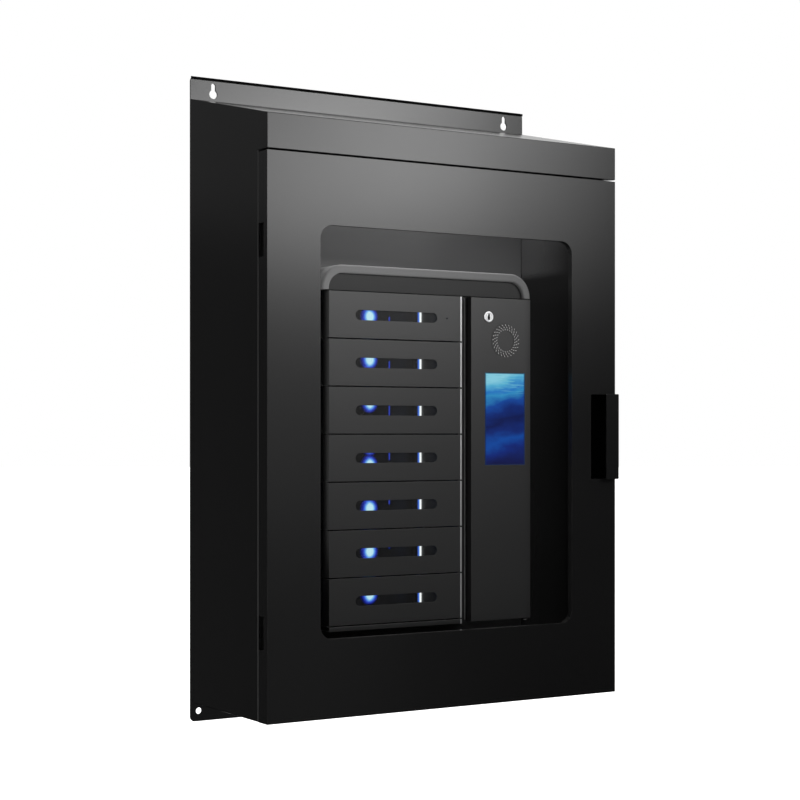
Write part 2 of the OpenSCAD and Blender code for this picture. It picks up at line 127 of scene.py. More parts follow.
class Axis(Enum):
    """Direction that a turned piece points along."""

    FORWARD = (0.0, -1.0, 0.0)
    BACK = (0.0, 1.0, 0.0)
    UP = (0.0, 0.0, 1.0)


# Node trees


class Wiring:
    """Adds nodes to one shader tree and joins them."""

    def __init__(self, tree: bpy.types.NodeTree) -> None:
        """Keeps the tree.

        Args:
            tree: the material's, world's or group's node tree.
        """
        self.tree = tree

    def feed(self, node: bpy.types.Node, given: Given) -> None:
        """Joins sockets to a node's inputs, or sets the inputs.

        Args:
            node: the node.
            given: an output socket, number, colour or vector for each input, by its name or place.
        """
        for key, value in given.items():
            into = node.inputs[key]
            if isinstance(value, Socket):
                self.tree.links.new(value, into)
            elif isinstance(value, tuple) and into.type == "RGBA":
                into.default_value = (*value, 1.0)
            else:
                into.default_value = value

    def node(self, kind: str, given: Given | None = None, **settings: object) -> bpy.types.Node:
        """Adds a node.

        Args:
            kind: the node's type, without the leading "ShaderNode".
            given: what its inputs get, as in feed.
            settings: attributes set on the node.

        Returns:
            The new node.
        """
        made = self.tree.nodes.new("ShaderNode" + kind)
        for key, value in settings.items():
            setattr(made, key, value)
        self.feed(made, given or {})
        return made

    def group(self, tree: bpy.types.NodeTree, **values: object) -> bpy.types.Node:
        """Places a shared group, with its own values for the inputs named."""
        return self.node("Group", values, node_tree=tree)

    def spot(self) -> Socket:
        """Coordinates that stay with a piece as it moves."""
        return self.node("TexCoord").outputs["Object"]

    def maths(self, step: Maths, a: object, b: object = 0.0, clamp: bool = False) -> Socket:
        """Adds a Math node.

        Args:
            step: its operation.
            a: the first value.
            b: the second value.
            clamp: whether the result stays between 0 and 1.

        Returns:
            The result's socket.
        """
        return self.node("Math", {0: a, 1: b}, operation=step.value, use_clamp=clamp).outputs[0]

    def blend(self, share: object, a: object, b: object) -> Socket:
        """Mixes two colours.

        Args:
            share: how much of b, from 0 to 1.
            a: the colour at 0.
            b: the colour at 1.

        Returns:
            The mixed colour's socket.
        """
        return self.node("Mix", {0: share, 6: a, 7: b}, data_type="RGBA").outputs[2]

    def remap(self, value: object, low: float, high: float, to_low: object = 0.0, to_high: object = 1.0) -> Socket:
        """Maps a range of values smoothly onto another.

        Args:
            value: what is mapped.
            low: value that gives to_low.
            high: value that gives to_high.
            to_low: first end of the result.
            to_high: other end of the result.

        Returns:
            The mapped value's socket.
        """
        given = dict(enumerate((value, low, high, to_low, to_high)))
        return self.node("MapRange", given, interpolation_type="SMOOTHSTEP").outputs[0]

    def noise(self, where: object, scale: object, detail: float = 2.0, roughness: float = 0.5) -> Socket:
        """Adds a Noise Texture.

        Args:
            where: coordinates.
            scale: lumps per metre.
            detail: octaves.
            roughness: share of the finer octaves.

        Returns:
            The noise value's socket.
        """
        given = {"Vector": where, "Scale": scale, "Detail": detail, "Roughness": roughness}
        return self.node("TexNoise", given).outputs[0]

    def split(self, vector: object) -> tuple[Socket, ...]:
        """Splits a vector into its X, Y and Z sockets."""
        return tuple(self.node("SeparateXYZ", {0: vector}).outputs)

    def scaled(self, vector: object, factor: object) -> Socket:
        """Multiplies a vector or a colour by a number."""
        return self.node("VectorMath", {0: vector, "Scale": factor}, operation="SCALE").outputs[0]

    def stretched(self, vector: object, by: object) -> Socket:
        """Multiplies a vector by another, axis by axis."""
        return self.node("VectorMath", {0: vector, 1: by}, operation="MULTIPLY").outputs[0]

    def along(self, a: object, b: object) -> Socket:
        """Dot product of two vectors."""
        return self.node("VectorMath", {0: a, 1: b}, operation="DOT_PRODUCT").outputs["Value"]

    def ramp(self, value: object, stops: Stops) -> Socket:
        """Colours a value by a row of stops.

        Args:
            value: the value, from 0 to 1.
            stops: two or more places with their colours, in order.

        Returns:
            The colour's socket.
        """
        made = self.node("ValToRGB", {0: value})
        bar = made.color_ramp
        while len(bar.elements) < len(stops):
            bar.elements.new(0.5)
        for element, (place, colour) in zip(bar.elements, stops):
            element.position = place
            element.color = (*colour, 1.0)
        return made.outputs[0]

    def bump(self, height: Socket, depth: float, strength: float) -> Socket:
        """Turns a height into a normal.

        Args:
            height: the height's socket.
            depth: height of the full range, in metres.
            strength: share of the effect.

        Returns:
            The normal's socket.
        """
        return self.node("Bump", {"Height": height, "Distance": depth, "Strength": strength}).outputs[0]

    def seen_directly(self) -> Socket:
        """A value that is 1 for camera, glossy and transmission rays and 0 for the rest."""
        path = self.node("LightPath").outputs
        shine = self.maths(Maths.MOST, path["Is Glossy Ray"], path["Is Transmission Ray"])
        return self.maths(Maths.MOST, path["Is Camera Ray"], shine)


@dataclass(frozen=True)
class Terminal:
    """A named socket of an effect group, with the value it has when nothing is joined."""

    name: str
    kind: str = "Float"
    value: float | Colour = 0.0


class Effects:
    """Shader groups shared by the finishes. Each is built once and placed with its own values."""

    UNDER = Terminal("Color", "Color", (0.02, 0.02, 0.02))
    SKIN = (Terminal("Color", "Color"), Terminal("Roughness"), Terminal("Height"))
    FILM = (Terminal("Color", "Color"),)

    def __init__(self) -> None:
        """Builds every group."""
        self.powder = self._powder()
        self.edge_wear_and_highlight = self._edge_wear_and_highlight()
        self.dust = self._dust()
        self.grain = self._grain()
        self.mould = self._mould()

    @staticmethod
    def _group(
        name: str, inputs: Sequence[Terminal], outputs: Sequence[Terminal]
    ) -> tuple[Wiring, list[Socket], bpy.types.Node]:
        """Starts a group.

        Args:
            name: the group's name.
            inputs: its input sockets.
            outputs: its output sockets.

        Returns:
            The wiring of its tree, the sockets of its inputs in order, and its output node.
        """
        tree = bpy.data.node_groups.new(name, "ShaderNodeTree")
        for side, row in (("INPUT", inputs), ("OUTPUT", outputs)):
            for t in row:
                made = tree.interface.new_socket(t.name, in_out=side, socket_type="NodeSocket" + t.kind)
                if side == "INPUT":
                    made.default_value = (*t.value, 1.0) if t.kind == "Color" else t.value
        given = tree.nodes.new("NodeGroupInput")
        return Wiring(tree), list(given.outputs)[:len(inputs)], tree.nodes.new("NodeGroupOutput")

    def _powder(self) -> bpy.types.NodeTree:
        """Powder coat: a drift of shade, fine flecks, cloudy roughness and a pebbled skin."""
        w, (paint, drift, fleck, rough, cloud, pebbles), out = self._group("powder_coat", [
            Terminal("Paint", "Color", (0.02, 0.02, 0.02)), Terminal("Drift", value=0.1),
            Terminal("Fleck", value=0.2), Terminal("Roughness", value=0.4), Terminal("Cloud", value=0.04),
            Terminal("Pebbles", value=1300.0)], self.SKIN)
        where = w.spot()
        clouds = w.maths(Maths.TAKE, w.noise(where, 3.1, 3.0), 0.5)
        dots = w.node("TexVoronoi", {"Vector": where, "Scale": 1100.0}, feature="F1").outputs["Distance"]
        bright = w.maths(Maths.TIMES, w.remap(dots, 0.32, 0.12), fleck)
        shift = w.maths(Maths.ADD, w.maths(Maths.TIMES, clouds, drift), bright)
        w.feed(out, {
            "Color": w.scaled(paint, w.maths(Maths.ADD, shift, 1.0)),
            "Roughness": w.maths(Maths.ADD, rough, w.maths(Maths.TIMES, clouds, cloud), clamp=True),
            "Height": w.noise(where, pebbles, 2.0, 0.6)})
        return w.tree

    def _edge_wear_and_highlight(self) -> bpy.types.NodeTree:
        """Lighter edges: finds the edges of a solid and lightens them in patches, partly wear and partly a painted
        edge highlight.
        """
        w, (colour, edge_colour, reach, amount), out = self._group("edge_wear_and_painted_highlight", [
            self.UNDER, Terminal("Bare", "Color", (0.2, 0.2, 0.2)), Terminal("Reach", value=0.0012),
            Terminal("Amount", value=0.2)], self.FILM)
        round_off = w.node("Bevel", {"Radius": reach}, samples=4).outputs[0]
        edge = w.remap(w.along(round_off, w.node("NewGeometry").outputs["Normal"]), 0.995, 0.9)
        patches = w.remap(w.noise(w.spot(), 38.0, 4.0, 0.65), 0.38, 0.68)
        mask = w.maths(Maths.TIMES, w.maths(Maths.TIMES, edge, patches), amount, clamp=True)
        w.feed(out, {"Color": w.blend(mask, colour, edge_colour)})
        return w.tree

    def _dust(self) -> bpy.types.NodeTree:
        """Dust: a thin pale film in patches on what faces up."""
        w, (colour, dust, amount), out = self._group("settled_dust", [
            self.UNDER, Terminal("Dust", "Color", (0.18, 0.17, 0.16)), Terminal("Amount", value=0.1)], self.FILM)
        up = w.remap(w.split(w.node("NewGeometry").outputs["Normal"])[2], 0.35, 0.95)
        patches = w.remap(w.noise(w.spot(), 21.0, 5.0, 0.6), 0.3, 0.75, 0.35, 1.0)
        mask = w.maths(Maths.TIMES, w.maths(Maths.TIMES, up, patches), amount, clamp=True)
        w.feed(out, {"Color": w.blend(mask, colour, dust)})
        return w.tree

    def _grain(self) -> bpy.types.NodeTree:
        """Drawn metal: fine lines along one direction, in the shade, the roughness and the surface."""
        w, (metal, stretch, rough, depth), out = self._group("drawn_grain", [
            Terminal("Metal", "Color", (0.6, 0.6, 0.6)), Terminal("Stretch", "Vector", (900.0, 900.0, 12.0)),
            Terminal("Roughness", value=0.3), Terminal("Depth", value=0.25)], self.SKIN)
        lines = w.noise(w.stretched(w.spot(), stretch), 1.0, 3.0, 0.7)
        swing = w.maths(Maths.TIMES, w.maths(Maths.TAKE, lines, 0.5), depth)
        w.feed(out, {
            "Color": w.scaled(metal, w.maths(Maths.ADD, swing, 1.0)),
            "Roughness": w.maths(Maths.ADD, rough, swing, clamp=True),
            "Height": lines})
        return w.tree

    def _mould(self) -> bpy.types.NodeTree:
        """Moulded plastic and rubber: spark-eroded grain with a slightly uneven sheen."""
        w, (plastic, rough, grain), out = self._group("mould_grain", [
            Terminal("Plastic", "Color", (0.02, 0.02, 0.02)), Terminal("Roughness", value=0.5),
            Terminal("Grain", value=1600.0)], self.SKIN)
        where = w.spot()
        clouds = w.noise(where, 14.0, 3.0)
        uneven = w.maths(Maths.TIMES, w.maths(Maths.TAKE, clouds, 0.5), 0.12)
        cells = w.node("TexVoronoi", {"Vector": where, "Scale": grain}, feature="SMOOTH_F1")
        w.feed(out, {
            "Color": w.scaled(plastic, w.remap(clouds, 0.2, 0.8, 0.88, 1.12)),
            "Roughness": w.maths(Maths.ADD, rough, uneven, clamp=True),
            "Height": cells.outputs["Distance"]})
        return w.tree


# Finishes


@dataclass(frozen=True)
class Coating:
    """A finish. Each kind fills the material's node tree in its own way."""

    name: str

    def make(self, effects: Effects) -> bpy.types.Material:
        """Makes the material.

        Args:
            effects: the shared shader groups.

        Returns:
            The finished material.
        """
        material = bpy.data.materials.new(self.name)
        material.use_nodes = True
        tree = material.node_tree
        self.paint(Wiring(tree), tree.nodes["Principled BSDF"], effects)
        return material

    def paint(self, w: Wiring, shader: bpy.types.Node, effects: Effects) -> None:
        """Joins the finish's nodes to the shader.

        Args:
            w: wiring of the material's tree.
            shader: its Principled BSDF.
            effects: the shared shader groups.
        """
        raise NotImplementedError


@dataclass(frozen=True)
class PowderCoat(Coating):
    """Powder-coated sheet: pebbled paint, lighter at its edges from wear and a painted edge highlight, with a little
    dust on top.
    """

    paint_colour: Colour = (0.006, 0.006, 0.0062)
    roughness: float = 0.34
    specular: float = 0.5
    edge_colour: Colour = (0.06, 0.06, 0.06)
    wear_and_highlight: float = 0.35
    dusty: float = 0.12
    pebble_depth: float = 0.00001

    def pigment(self, w: Wiring) -> object:
        """Colour of the paint: a plain colour here, or a socket where it changes over the part."""
        return self.paint_colour

    def paint(self, w: Wiring, shader: bpy.types.Node, effects: Effects) -> None:
        """Joins the coat, its lighter edges (wear and painted highlight) and its dust to the shader. Args as in
        Coating.paint.
        """
        coat = w.group(
            effects.powder, Paint=self.pigment(w), Drift=0.12, Fleck=0.25, Roughness=self.roughness, Cloud=0.05)
        # edges lightened in patches: partly wear, partly painted edge highlight
        edges = w.group(effects.edge_wear_and_highlight, Color=coat.outputs["Color"], Bare=self.edge_colour, Amount=self.wear_and_highlight)
        film = w.group(effects.dust, Color=edges.outputs["Color"], Amount=self.dusty)
        w.feed(shader, {
            "Base Color": film.outputs["Color"], "Roughness": coat.outputs["Roughness"],
            "Specular IOR Level": self.specular,
            "Normal": w.bump(coat.outputs["Height"], self.pebble_depth, 0.35)})


@dataclass(frozen=True)
class PaintedLightCoat(PowderCoat):
    """Coat of a folded part: black outside, and a grey of painted light and shade on the faces that look into the
    cabinet.

    The painted light changes with height, and painted shade darkens it along the shade slope.
    """

    tone_and_light: Stops = ((0.0, (0.045, 0.045, 0.0455)), (1.0, (0.045, 0.045, 0.0455)))
    shade_slope: Point3 = (0.0, 0.0, 0.0)
    span_x: Point2 = (-0.01, 0.3395)
    span_y: Point2 = (-1.0, 1.0)
    span_z: Point2 = (0.003, 0.9)
    edge: float = 0.0002
    least_level: float = 0.08

    def pigment(self, w: Wiring) -> object:
        """Takes the painted light and shade within the spans, the first of which is the distance from the middle
        plane.
        """
        where = w.spot()
        x, y, z = w.split(where)
        # painted shade: the colour darkens along the shade slope, down to the least level
        level = w.maths(Maths.MOST, w.maths(Maths.ADD, w.along(where, self.shade_slope), 1.0), self.least_level)
        least = self.edge
        for place, (low, high) in ((w.maths(Maths.SIZE, x), self.span_x), (y, self.span_y), (z, self.span_z)):
            for margin in (w.maths(Maths.TAKE, place, low), w.maths(Maths.TAKE, high, place)):
                least = w.maths(Maths.LEAST, least, margin)
        # within the spans the colour is painted light and shade by height, darkened by the slope's painted shade
        return w.blend(w.remap(least, 0.0, self.edge), self.paint_colour, w.scaled(w.ramp(z, self.tone_and_light), level))


@dataclass(frozen=True)
class DrawnMetal(Coating):
    """Bare or plated metal with a grain along one direction."""

    metal: Colour = (0.55, 0.55, 0.56)
    roughness: float = 0.32
    stretch: Point3 = (900.0, 900.0, 14.0)
    depth: float = 0.22

    def paint(self, w: Wiring, shader: bpy.types.Node, effects: Effects) -> None:
        """Joins the grain to the shader. Args as in Coating.paint."""
        grain = w.group(
            effects.grain, Metal=self.metal, Stretch=self.stretch, Roughness=self.roughness, Depth=self.depth)
        film = w.group(effects.dust, Color=grain.outputs["Color"], Amount=0.06)
        w.feed(shader, {
            "Base Color": film.outputs["Color"], "Roughness": grain.outputs["Roughness"], "Metallic": 1.0,
            "Normal": w.bump(grain.outputs["Height"], 0.00001, 0.3)})


@dataclass(frozen=True)
class Moulded(Coating):
    """Grained plastic, rubber or foam."""

    plastic: Colour = (0.012, 0.012, 0.012)
    roughness: float = 0.5
    grain: float = 1600.0
    depth: float = 0.00004
    specular: float = 0.4

    def paint(self, w: Wiring, shader: bpy.types.Node, effects: Effects) -> None:
        """Joins the mould grain to the shader. Args as in Coating.paint."""
        skin = w.group(effects.mould, Plastic=self.plastic, Roughness=self.roughness, Grain=self.grain)
        film = w.group(effects.dust, Color=skin.outputs["Color"], Amount=0.08)
        w.feed(shader, {
            "Base Color": film.outputs["Color"], "Roughness": skin.outputs["Roughness"],
            "Specular IOR Level": self.specular, "Normal": w.bump(skin.outputs["Height"], self.depth, 0.5)})


@dataclass(frozen=True)
class SmokedPane(Coating):
    """Matt smoked pane that lets what lies behind it show."""

    tint: Colour = (0.0105, 0.0105, 0.0108)
    cover: float = 0.22
    roughness: float = 0.4
    specular: float = 0.7

    def paint(self, w: Wiring, shader: bpy.types.Node, effects: Effects) -> None:
        """Makes the shader a thin dark film. Args as in Coating.paint."""
        skin = w.group(effects.mould, Plastic=self.tint, Roughness=self.roughness, Grain=300.0)
        w.feed(shader, {
            "Base Color": skin.outputs["Color"], "Roughness": skin.outputs["Roughness"],
            "Specular IOR Level": self.specular, "Alpha": self.cover})


@dataclass(frozen=True)
class LampAndPoolGlow(Coating):
    """Diffuser of a lit lamp and painted pools of its light: white in the middle, then deep blue, then dark, by the
    mesh's own "glow" values.
    """

    stops: Stops = (
        (0.0, (0.0, 0.0, 0.0)), (0.08, (0.0, 0.004, 0.1)), (0.17, (0.008, 0.018, 0.28)),
        (0.26, (0.022, 0.06, 0.47)), (0.35, (0.06, 0.18, 0.68)), (0.47, (0.18, 0.46, 0.84)),
        (0.57, (0.47, 0.76, 0.85)), (0.92, (0.5, 0.79, 0.86)), (1.0, (0.95, 1.0, 1.0)))
    plastic: Colour = (0.02, 0.024, 0.03)
    power: float = 1.6

    def paint(self, w: Wiring, shader: bpy.types.Node, effects: Effects) -> None:
        """Colours the glow from the mesh's values. Args as in Coating.paint."""
        glow = w.node("Attribute", attribute_type="GEOMETRY", attribute_name="glow").outputs["Fac"]
        skin = w.group(effects.mould, Plastic=self.plastic, Roughness=0.5, Grain=900.0)
        w.feed(shader, {
            "Base Color": skin.outputs["Color"], "Roughness": skin.outputs["Roughness"], "Specular IOR Level": 0.2,
            "Emission Color": w.ramp(glow, self.stops), "Emission Strength": self.power})


@dataclass(frozen=True)
class PanelPicture(Coating):
    """Lit screen with plain drifting bands of blue: pale at the top, navy at the bottom, dark at its frame."""

    top: float = 0.5565
    bottom: float = 0.3975
    left: float = 0.112
    right: float = 0.196
    power: float = 0.95
    flow: Point3 = (16.0, 1.0, 34.0)
    streaks: Point3 = (30.0, 1.0, 420.0)
    frame_x: Point2 = (0.04, 0.015)
    frame_z: Point2 = (0.016, 0.006)
    bands: Stops = (
        (0.0, (0.006, 0.006, 0.04)), (0.09, (0.006, 0.012, 0.09)), (0.17, (0.006, 0.02, 0.16)),
        (0.27, (0.006, 0.06, 0.3)), (0.36, (0.006, 0.02, 0.14)), (0.47, (0.004, 0.008, 0.06)),
        (0.58, (0.005, 0.02, 0.14)), (0.68, (0.008, 0.06, 0.3)), (0.77, (0.03, 0.25, 0.5)),
        (0.83, (0.02, 0.17, 0.5)), (0.92, (0.09, 0.42, 0.62)), (1.0, (0.24, 0.6, 0.72)))

    def paint(self, w: Wiring, shader: bpy.types.Node, effects: Effects) -> None:
        """Draws the bands from height, bent by slow noise, in a dark frame. Args as in Coating.paint."""
        where = w.spot()
        x, _, z = w.split(where)
        height = w.maths(Maths.OVER, w.maths(Maths.TAKE, z, self.bottom), self.top - self.bottom)
        across = w.maths(Maths.OVER, w.maths(Maths.TAKE, x, self.left), self.right - self.left)
        drift = w.noise(w.stretched(where, self.flow), 1.0, 3.0, 0.55)
        bend = w.maths(Maths.TIMES, w.maths(Maths.TAKE, drift, 0.5), 0.3)
        lean = w.maths(Maths.TIMES, w.maths(Maths.TAKE, 0.5, across), 0.1)
        tone = w.maths(Maths.ADD, w.maths(Maths.ADD, height, bend), lean, clamp=True)
        fine = w.remap(w.noise(w.stretched(where, self.streaks), 1.0, 2.0), 0.5, 0.72)
        streak = w.maths(Maths.TIMES, fine, w.remap(height, 0.7, 0.95))
        picture = w.blend(streak, w.ramp(tone, self.bands), (0.16, 0.5, 0.62))
        near = [
            w.remap(w.maths(Maths.LEAST, place, w.maths(Maths.TAKE, 1.0, place)), *margin)
            for place, margin in ((across, self.frame_x), (height, self.frame_z))]
        frame = w.maths(Maths.TIMES, w.maths(Maths.MOST, *near), 0.8)
        glints = w.group(effects.mould, Plastic=(0.004, 0.006, 0.02), Roughness=0.12, Grain=2500.0)
        w.feed(shader, {
            "Base Color": glints.outputs["Color"], "Roughness": glints.outputs["Roughness"],
            "Specular IOR Level": 0.3, "Emission Color": w.blend(frame, picture, (0.008, 0.02, 0.06)),
            "Emission Strength": self.power})


@dataclass(frozen=True)
class SolderMask(Coating):
    """Circuit board: green mask with fine copper tracks under it."""

    mask: Colour = (0.008, 0.07, 0.03)
    tracks: Colour = (0.05, 0.2, 0.06)

    def paint(self, w: Wiring, shader: bpy.types.Node, effects: Effects) -> None:
        """Draws the tracks from a brick pattern. Args as in Coating.paint."""
        x, _, z = w.split(w.spot())
        bricks = w.node("TexBrick", {
            "Vector": w.node("CombineXYZ", {0: x, 1: z}).outputs[0], "Color1": self.mask,
            "Color2": tuple(c * 0.8 for c in self.mask), "Mortar": self.tracks, "Scale": 60.0,
            "Mortar Size": 0.035}, offset=0.35).outputs
        film = w.group(effects.dust, Color=bricks["Color"], Amount=0.1)
        w.feed(shader, {
            "Base Color": film.outputs["Color"],
            "Roughness": w.maths(Maths.ADD, w.maths(Maths.TIMES, bricks["Fac"], -0.15), 0.42),
            "Normal": w.bump(bricks["Fac"], 0.00004, 0.4)})


@dataclass(frozen=True)
class FloorPaper(Coating):
    """Pale studio floor: white away from the object, and open to its shadow near it."""

    paper: Colour = (0.8, 0.8, 0.8)
    fibre: Colour = (0.7, 0.7, 0.7)
    near: float = 1.2
    far: float = 3.2
    least: float = 0.55

    def paint(self, w: Wiring, shader: bpy.types.Node, effects: Effects) -> None:
        """Adds white for camera, glossy and transmission rays. Args as in Coating.paint."""
        where = w.spot()
        away = w.node("VectorMath", {0: where}, operation="LENGTH").outputs["Value"]
        lit = w.remap(away, self.near, self.far, self.least, 1.0)
        share = w.maths(Maths.TIMES, w.noise(where, 240.0, 2.0), 0.06)
        w.feed(shader, {
            "Base Color": w.blend(share, self.paper, self.fibre), "Roughness": 0.9, "Specular IOR Level": 0.1,
            "Emission Color": WHITE, "Emission Strength": w.maths(Maths.TIMES, lit, w.seen_directly())})


DEEP_BLACK: Colour = (0.004, 0.004, 0.0041)
# lighter grey at the edges: partly wear, partly painted edge highlight
EDGE_GREY: Colour = (0.09, 0.09, 0.09)
RIM_GREY: Colour = (0.17, 0.17, 0.171)
ZINC: Colour = (0.5, 0.5, 0.51)


class Finish(Enum):
    """Every finish on the object and the stage."""

    CABINET_COAT = PowderCoat("cabinet_black_coat", paint_colour=DEEP_BLACK, roughness=0.25)
    # Back plate: inside, grey painted light above the locker, fading upwards and lighter towards the pull side
    PLATE_COAT = PaintedLightCoat(
        "back_plate_painted_light_coat", paint_colour=DEEP_BLACK, roughness=0.25, specular=0.72, shade_slope=(1.1, 0.0, 0.0),
        span_y=(-0.0035, -0.0025), tone_and_light=(
            (0.755, (0.044, 0.044, 0.0445)), (0.775, (0.038, 0.038, 0.0385)),
            (0.805, (0.028, 0.028, 0.0284)), (0.83, (0.021, 0.021, 0.0213))))
    # Shell: inside its side walls, painted light above the locker's top, a painted shadow just below it, grey lower
    # down that darkens going up, and painted shade towards the front
    SHELL_COAT = PaintedLightCoat(
        "shell_painted_light_coat", paint_colour=DEEP_BLACK, roughness=0.25, shade_slope=(0.0, 6.4, 0.0), span_x=(0.3398, 0.3412),
        tone_and_light=(
            (0.1, (0.03, 0.03, 0.0305)), (0.3, (0.036, 0.036, 0.0365)), (0.55, (0.019, 0.019, 0.0193)),
            (0.68, (0.005, 0.005, 0.0051)), (0.738, DEEP_BLACK), (0.752, (0.044, 0.044, 0.0445))))
    HINGE_STEEL = DrawnMetal("blackened_hinge_steel", metal=(0.012, 0.012, 0.012), roughness=0.6)
    INNER_COAT = PowderCoat("inner_black_coat", wear_and_highlight=0.15, dusty=0.2)
    LOCKER_COAT = PowderCoat(
        "locker_charcoal_coat", paint_colour=(0.0072, 0.0072, 0.0074), roughness=0.39, specular=0.75, wear_and_highlight=0.3,
        edge_colour=EDGE_GREY)
    CASE_COAT = PowderCoat(
        "case_charcoal_coat", paint_colour=(0.025, 0.025, 0.0254), roughness=0.41, wear_and_highlight=0.3, edge_colour=EDGE_GREY)
    # Cap rim: its own grey, darkened towards the pull side by painted shade
    RIM_COAT = PaintedLightCoat(
        "cap_rim_grey_shaded_coat", tone_and_light=((0.0, RIM_GREY), (1.0, RIM_GREY)), shade_slope=(-1.1, 0.0, 0.0), roughness=0.75,
        specular=0.08, edge_colour=(0.2, 0.2, 0.2))
    CAP_COAT = PowderCoat(
        "cap_plate_charcoal_coat", paint_colour=(0.0055, 0.0055, 0.0056), roughness=0.39, specular=0.36)
    # near-black fill of painted shade: the shadow under the hem's fold and inside the keyhole
    SHADE_BLACK = Moulded("painted_shade_black", plastic=(0.002, 0.002, 0.002), roughness=0.8, specular=0.05)
    RIB_GREY = PowderCoat("grille_rib_grey_coat", paint_colour=(0.42, 0.42, 0.42), roughness=0.45, wear_and_highlight=0.1)
    # metal bead standing in for the highlight along the mullion's bead
    BEAD_HIGHLIGHT = DrawnMetal("bead_highlight_metal", metal=(0.3, 0.3, 0.3), roughness=0.5)
    # bright metal strips standing in for the highlights on the locker panels' rounded right edges
    EDGE_HIGHLIGHT_METAL = DrawnMetal("edge_highlight_metal", metal=(0.62, 0.62, 0.63), roughness=0.4)
    PLATED = DrawnMetal("zinc_plated_steel", metal=ZINC)
    RAIL = DrawnMetal("galvanised_rail", metal=(0.42, 0.43, 0.44), roughness=0.45, stretch=(12.0, 300.0, 300.0))
    HOUSING = DrawnMetal("supply_housing", metal=ZINC, roughness=0.4, stretch=(10.0, 700.0, 700.0))
    BRIGHT = DrawnMetal("bright_lock_metal", metal=(0.9, 0.9, 0.91), roughness=0.45, depth=0.1)
    BLACK_PLASTIC = Moulded("black_moulding")
    CUP_PLASTIC = Moulded("recess_cup_moulding", plastic=(0.0008, 0.0008, 0.0008), roughness=0.8, specular=0.02)
    SOCKET = Moulded("connector_moulding", plastic=(0.02, 0.02, 0.022), roughness=0.35, grain=2200.0)
    RUBBER = Moulded("grommet_rubber", plastic=(0.015, 0.015, 0.015), roughness=0.75, grain=900.0)
    PANE = SmokedPane("smoked_bay_pane")
    # glow of the lamps and of the painted pools of their light on the bays' back walls
    LAMP_AND_POOL_GLOW = LampAndPoolGlow("blue_lamp_and_light_pool_glow")
    PICTURE = PanelPicture("lit_blue_panel")
    BOARD = SolderMask("green_solder_mask")
    FLOOR = FloorPaper("studio_floor_paper")
    CURTAIN = Moulded("black_curtain", plastic=(0.002, 0.002, 0.002), roughness=0.9, specular=0.0)


# Meshes


def tube(rows: Sequence[Sequence[Point3]]) -> bmesh.types.BMesh:
    """Closes a skin over rows of points, with sides between the rows and a cap at each end.

    Args:
        rows: equally many points in each row, in the same order.

    Returns:
        A closed mesh.
    """
    bm = bmesh.new()
    rings = [[bm.verts.new(point) for point in row] for row in rows]
    bm.faces.new(rings[0])
    bm.faces.new(reversed(rings[-1]))
    for near, rear in zip(rings, rings[1:]):
        for n, vert in enumerate(near):
            after = (n + 1) % len(near)
            bm.faces.new((near[after], vert, rear[n], rear[after]))
    bmesh.ops.recalc_face_normals(bm, faces=bm.faces)
    return bm


def extruded(outline: Sequence[Point2], front: float, back: float) -> bmesh.types.BMesh:
    """Extrudes an XZ outline along Y.

    Args:
        outline: corners, counter-clockwise as seen from the front.
        front: lower Y.
        back: higher Y.

    Returns:
        A closed mesh.
    """
    return tube([[(x, y, z) for x, z in outline] for y in (front, back)])


def turned(profile: Sequence[Point2], centre: Point3, axis: Axis, steps: int = 32) -> bmesh.types.BMesh:
    """Turns a profile about an axis.

    Args:
        profile: (radius, distance along the axis) from the first end to the last.
        centre: where distance 0 lies.
        axis: the direction of rising distance.
        steps: sides of the turned piece.

    Returns:
        A closed mesh.
    """
    bm = bmesh.new()
    angles = [math.tau * n / steps for n in range(steps)]
    rings = []
    for radius, along in profile:
        around = [(0.0, 0.0)] if radius < 1e-7 else [(radius * math.cos(a), radius * math.sin(a)) for a in angles]
        rings.append([bm.verts.new((x, y, along)) for x, y in around])
    for low, high in zip(rings, rings[1:]):
        for n in range(steps):
            after = (n + 1) % steps
            corners = [low[n % len(low)], low[after % len(low)], high[after % len(high)], high[n % len(high)]]
            apart = list(dict.fromkeys(corners))
            if len(apart) > 2:
                bm.faces.new(apart)
    for ring in (rings[0], rings[-1]):
        if len(ring) > 1:
            bm.faces.new(ring)
    spin = Vector(axis.value).to_track_quat("Z", "Y").to_matrix().to_4x4()
    bmesh.ops.transform(bm, matrix=Matrix.Translation(centre) @ spin, verts=bm.verts)
    bmesh.ops.recalc_face_normals(bm, faces=bm.faces)
    return bm


def rounded_box(low: Point3, high: Point3, edge: float, segments: int = 2) -> bmesh.types.BMesh:
    """Makes a box whose edges are rounded.

    Args:
        low: lowest corner.
        high: highest corner.
        edge: width of the rounding.
        segments: steps of the rounding.

    Returns:
        A closed mesh.
    """
    bm = extruded([(low[0], low[2]), (high[0], low[2]), (high[0], high[2]), (low[0], high[2])], low[1], high[1])
    bmesh.ops.bevel(bm, geom=list(bm.edges), offset=edge, segments=segments, profile=0.5, affect="EDGES")
    return bm


def highlight_strip(right: float, span: Point2) -> bmesh.types.BMesh:
    """Thin bright metal strip lying on the locker's front along a panel's right edge, sloped towards that edge,
    standing in for the highlight on the panel's rounded edge.

    Args:
        right: X of the panel's right edge.
        span: its lower and upper Z.

    Returns:
        A closed mesh.
    """
    left, top, lip = right - STRIP_W, LOCKER_FACE - 0.0006, LOCKER_FACE - 0.0001
    section = [(left, LOCKER_FACE), (left + 0.0003, top), (right - 0.0006, top), (right, lip), (right, LOCKER_FACE)]
    return tube([[(x, y, z) for x, y in section] for z in span])


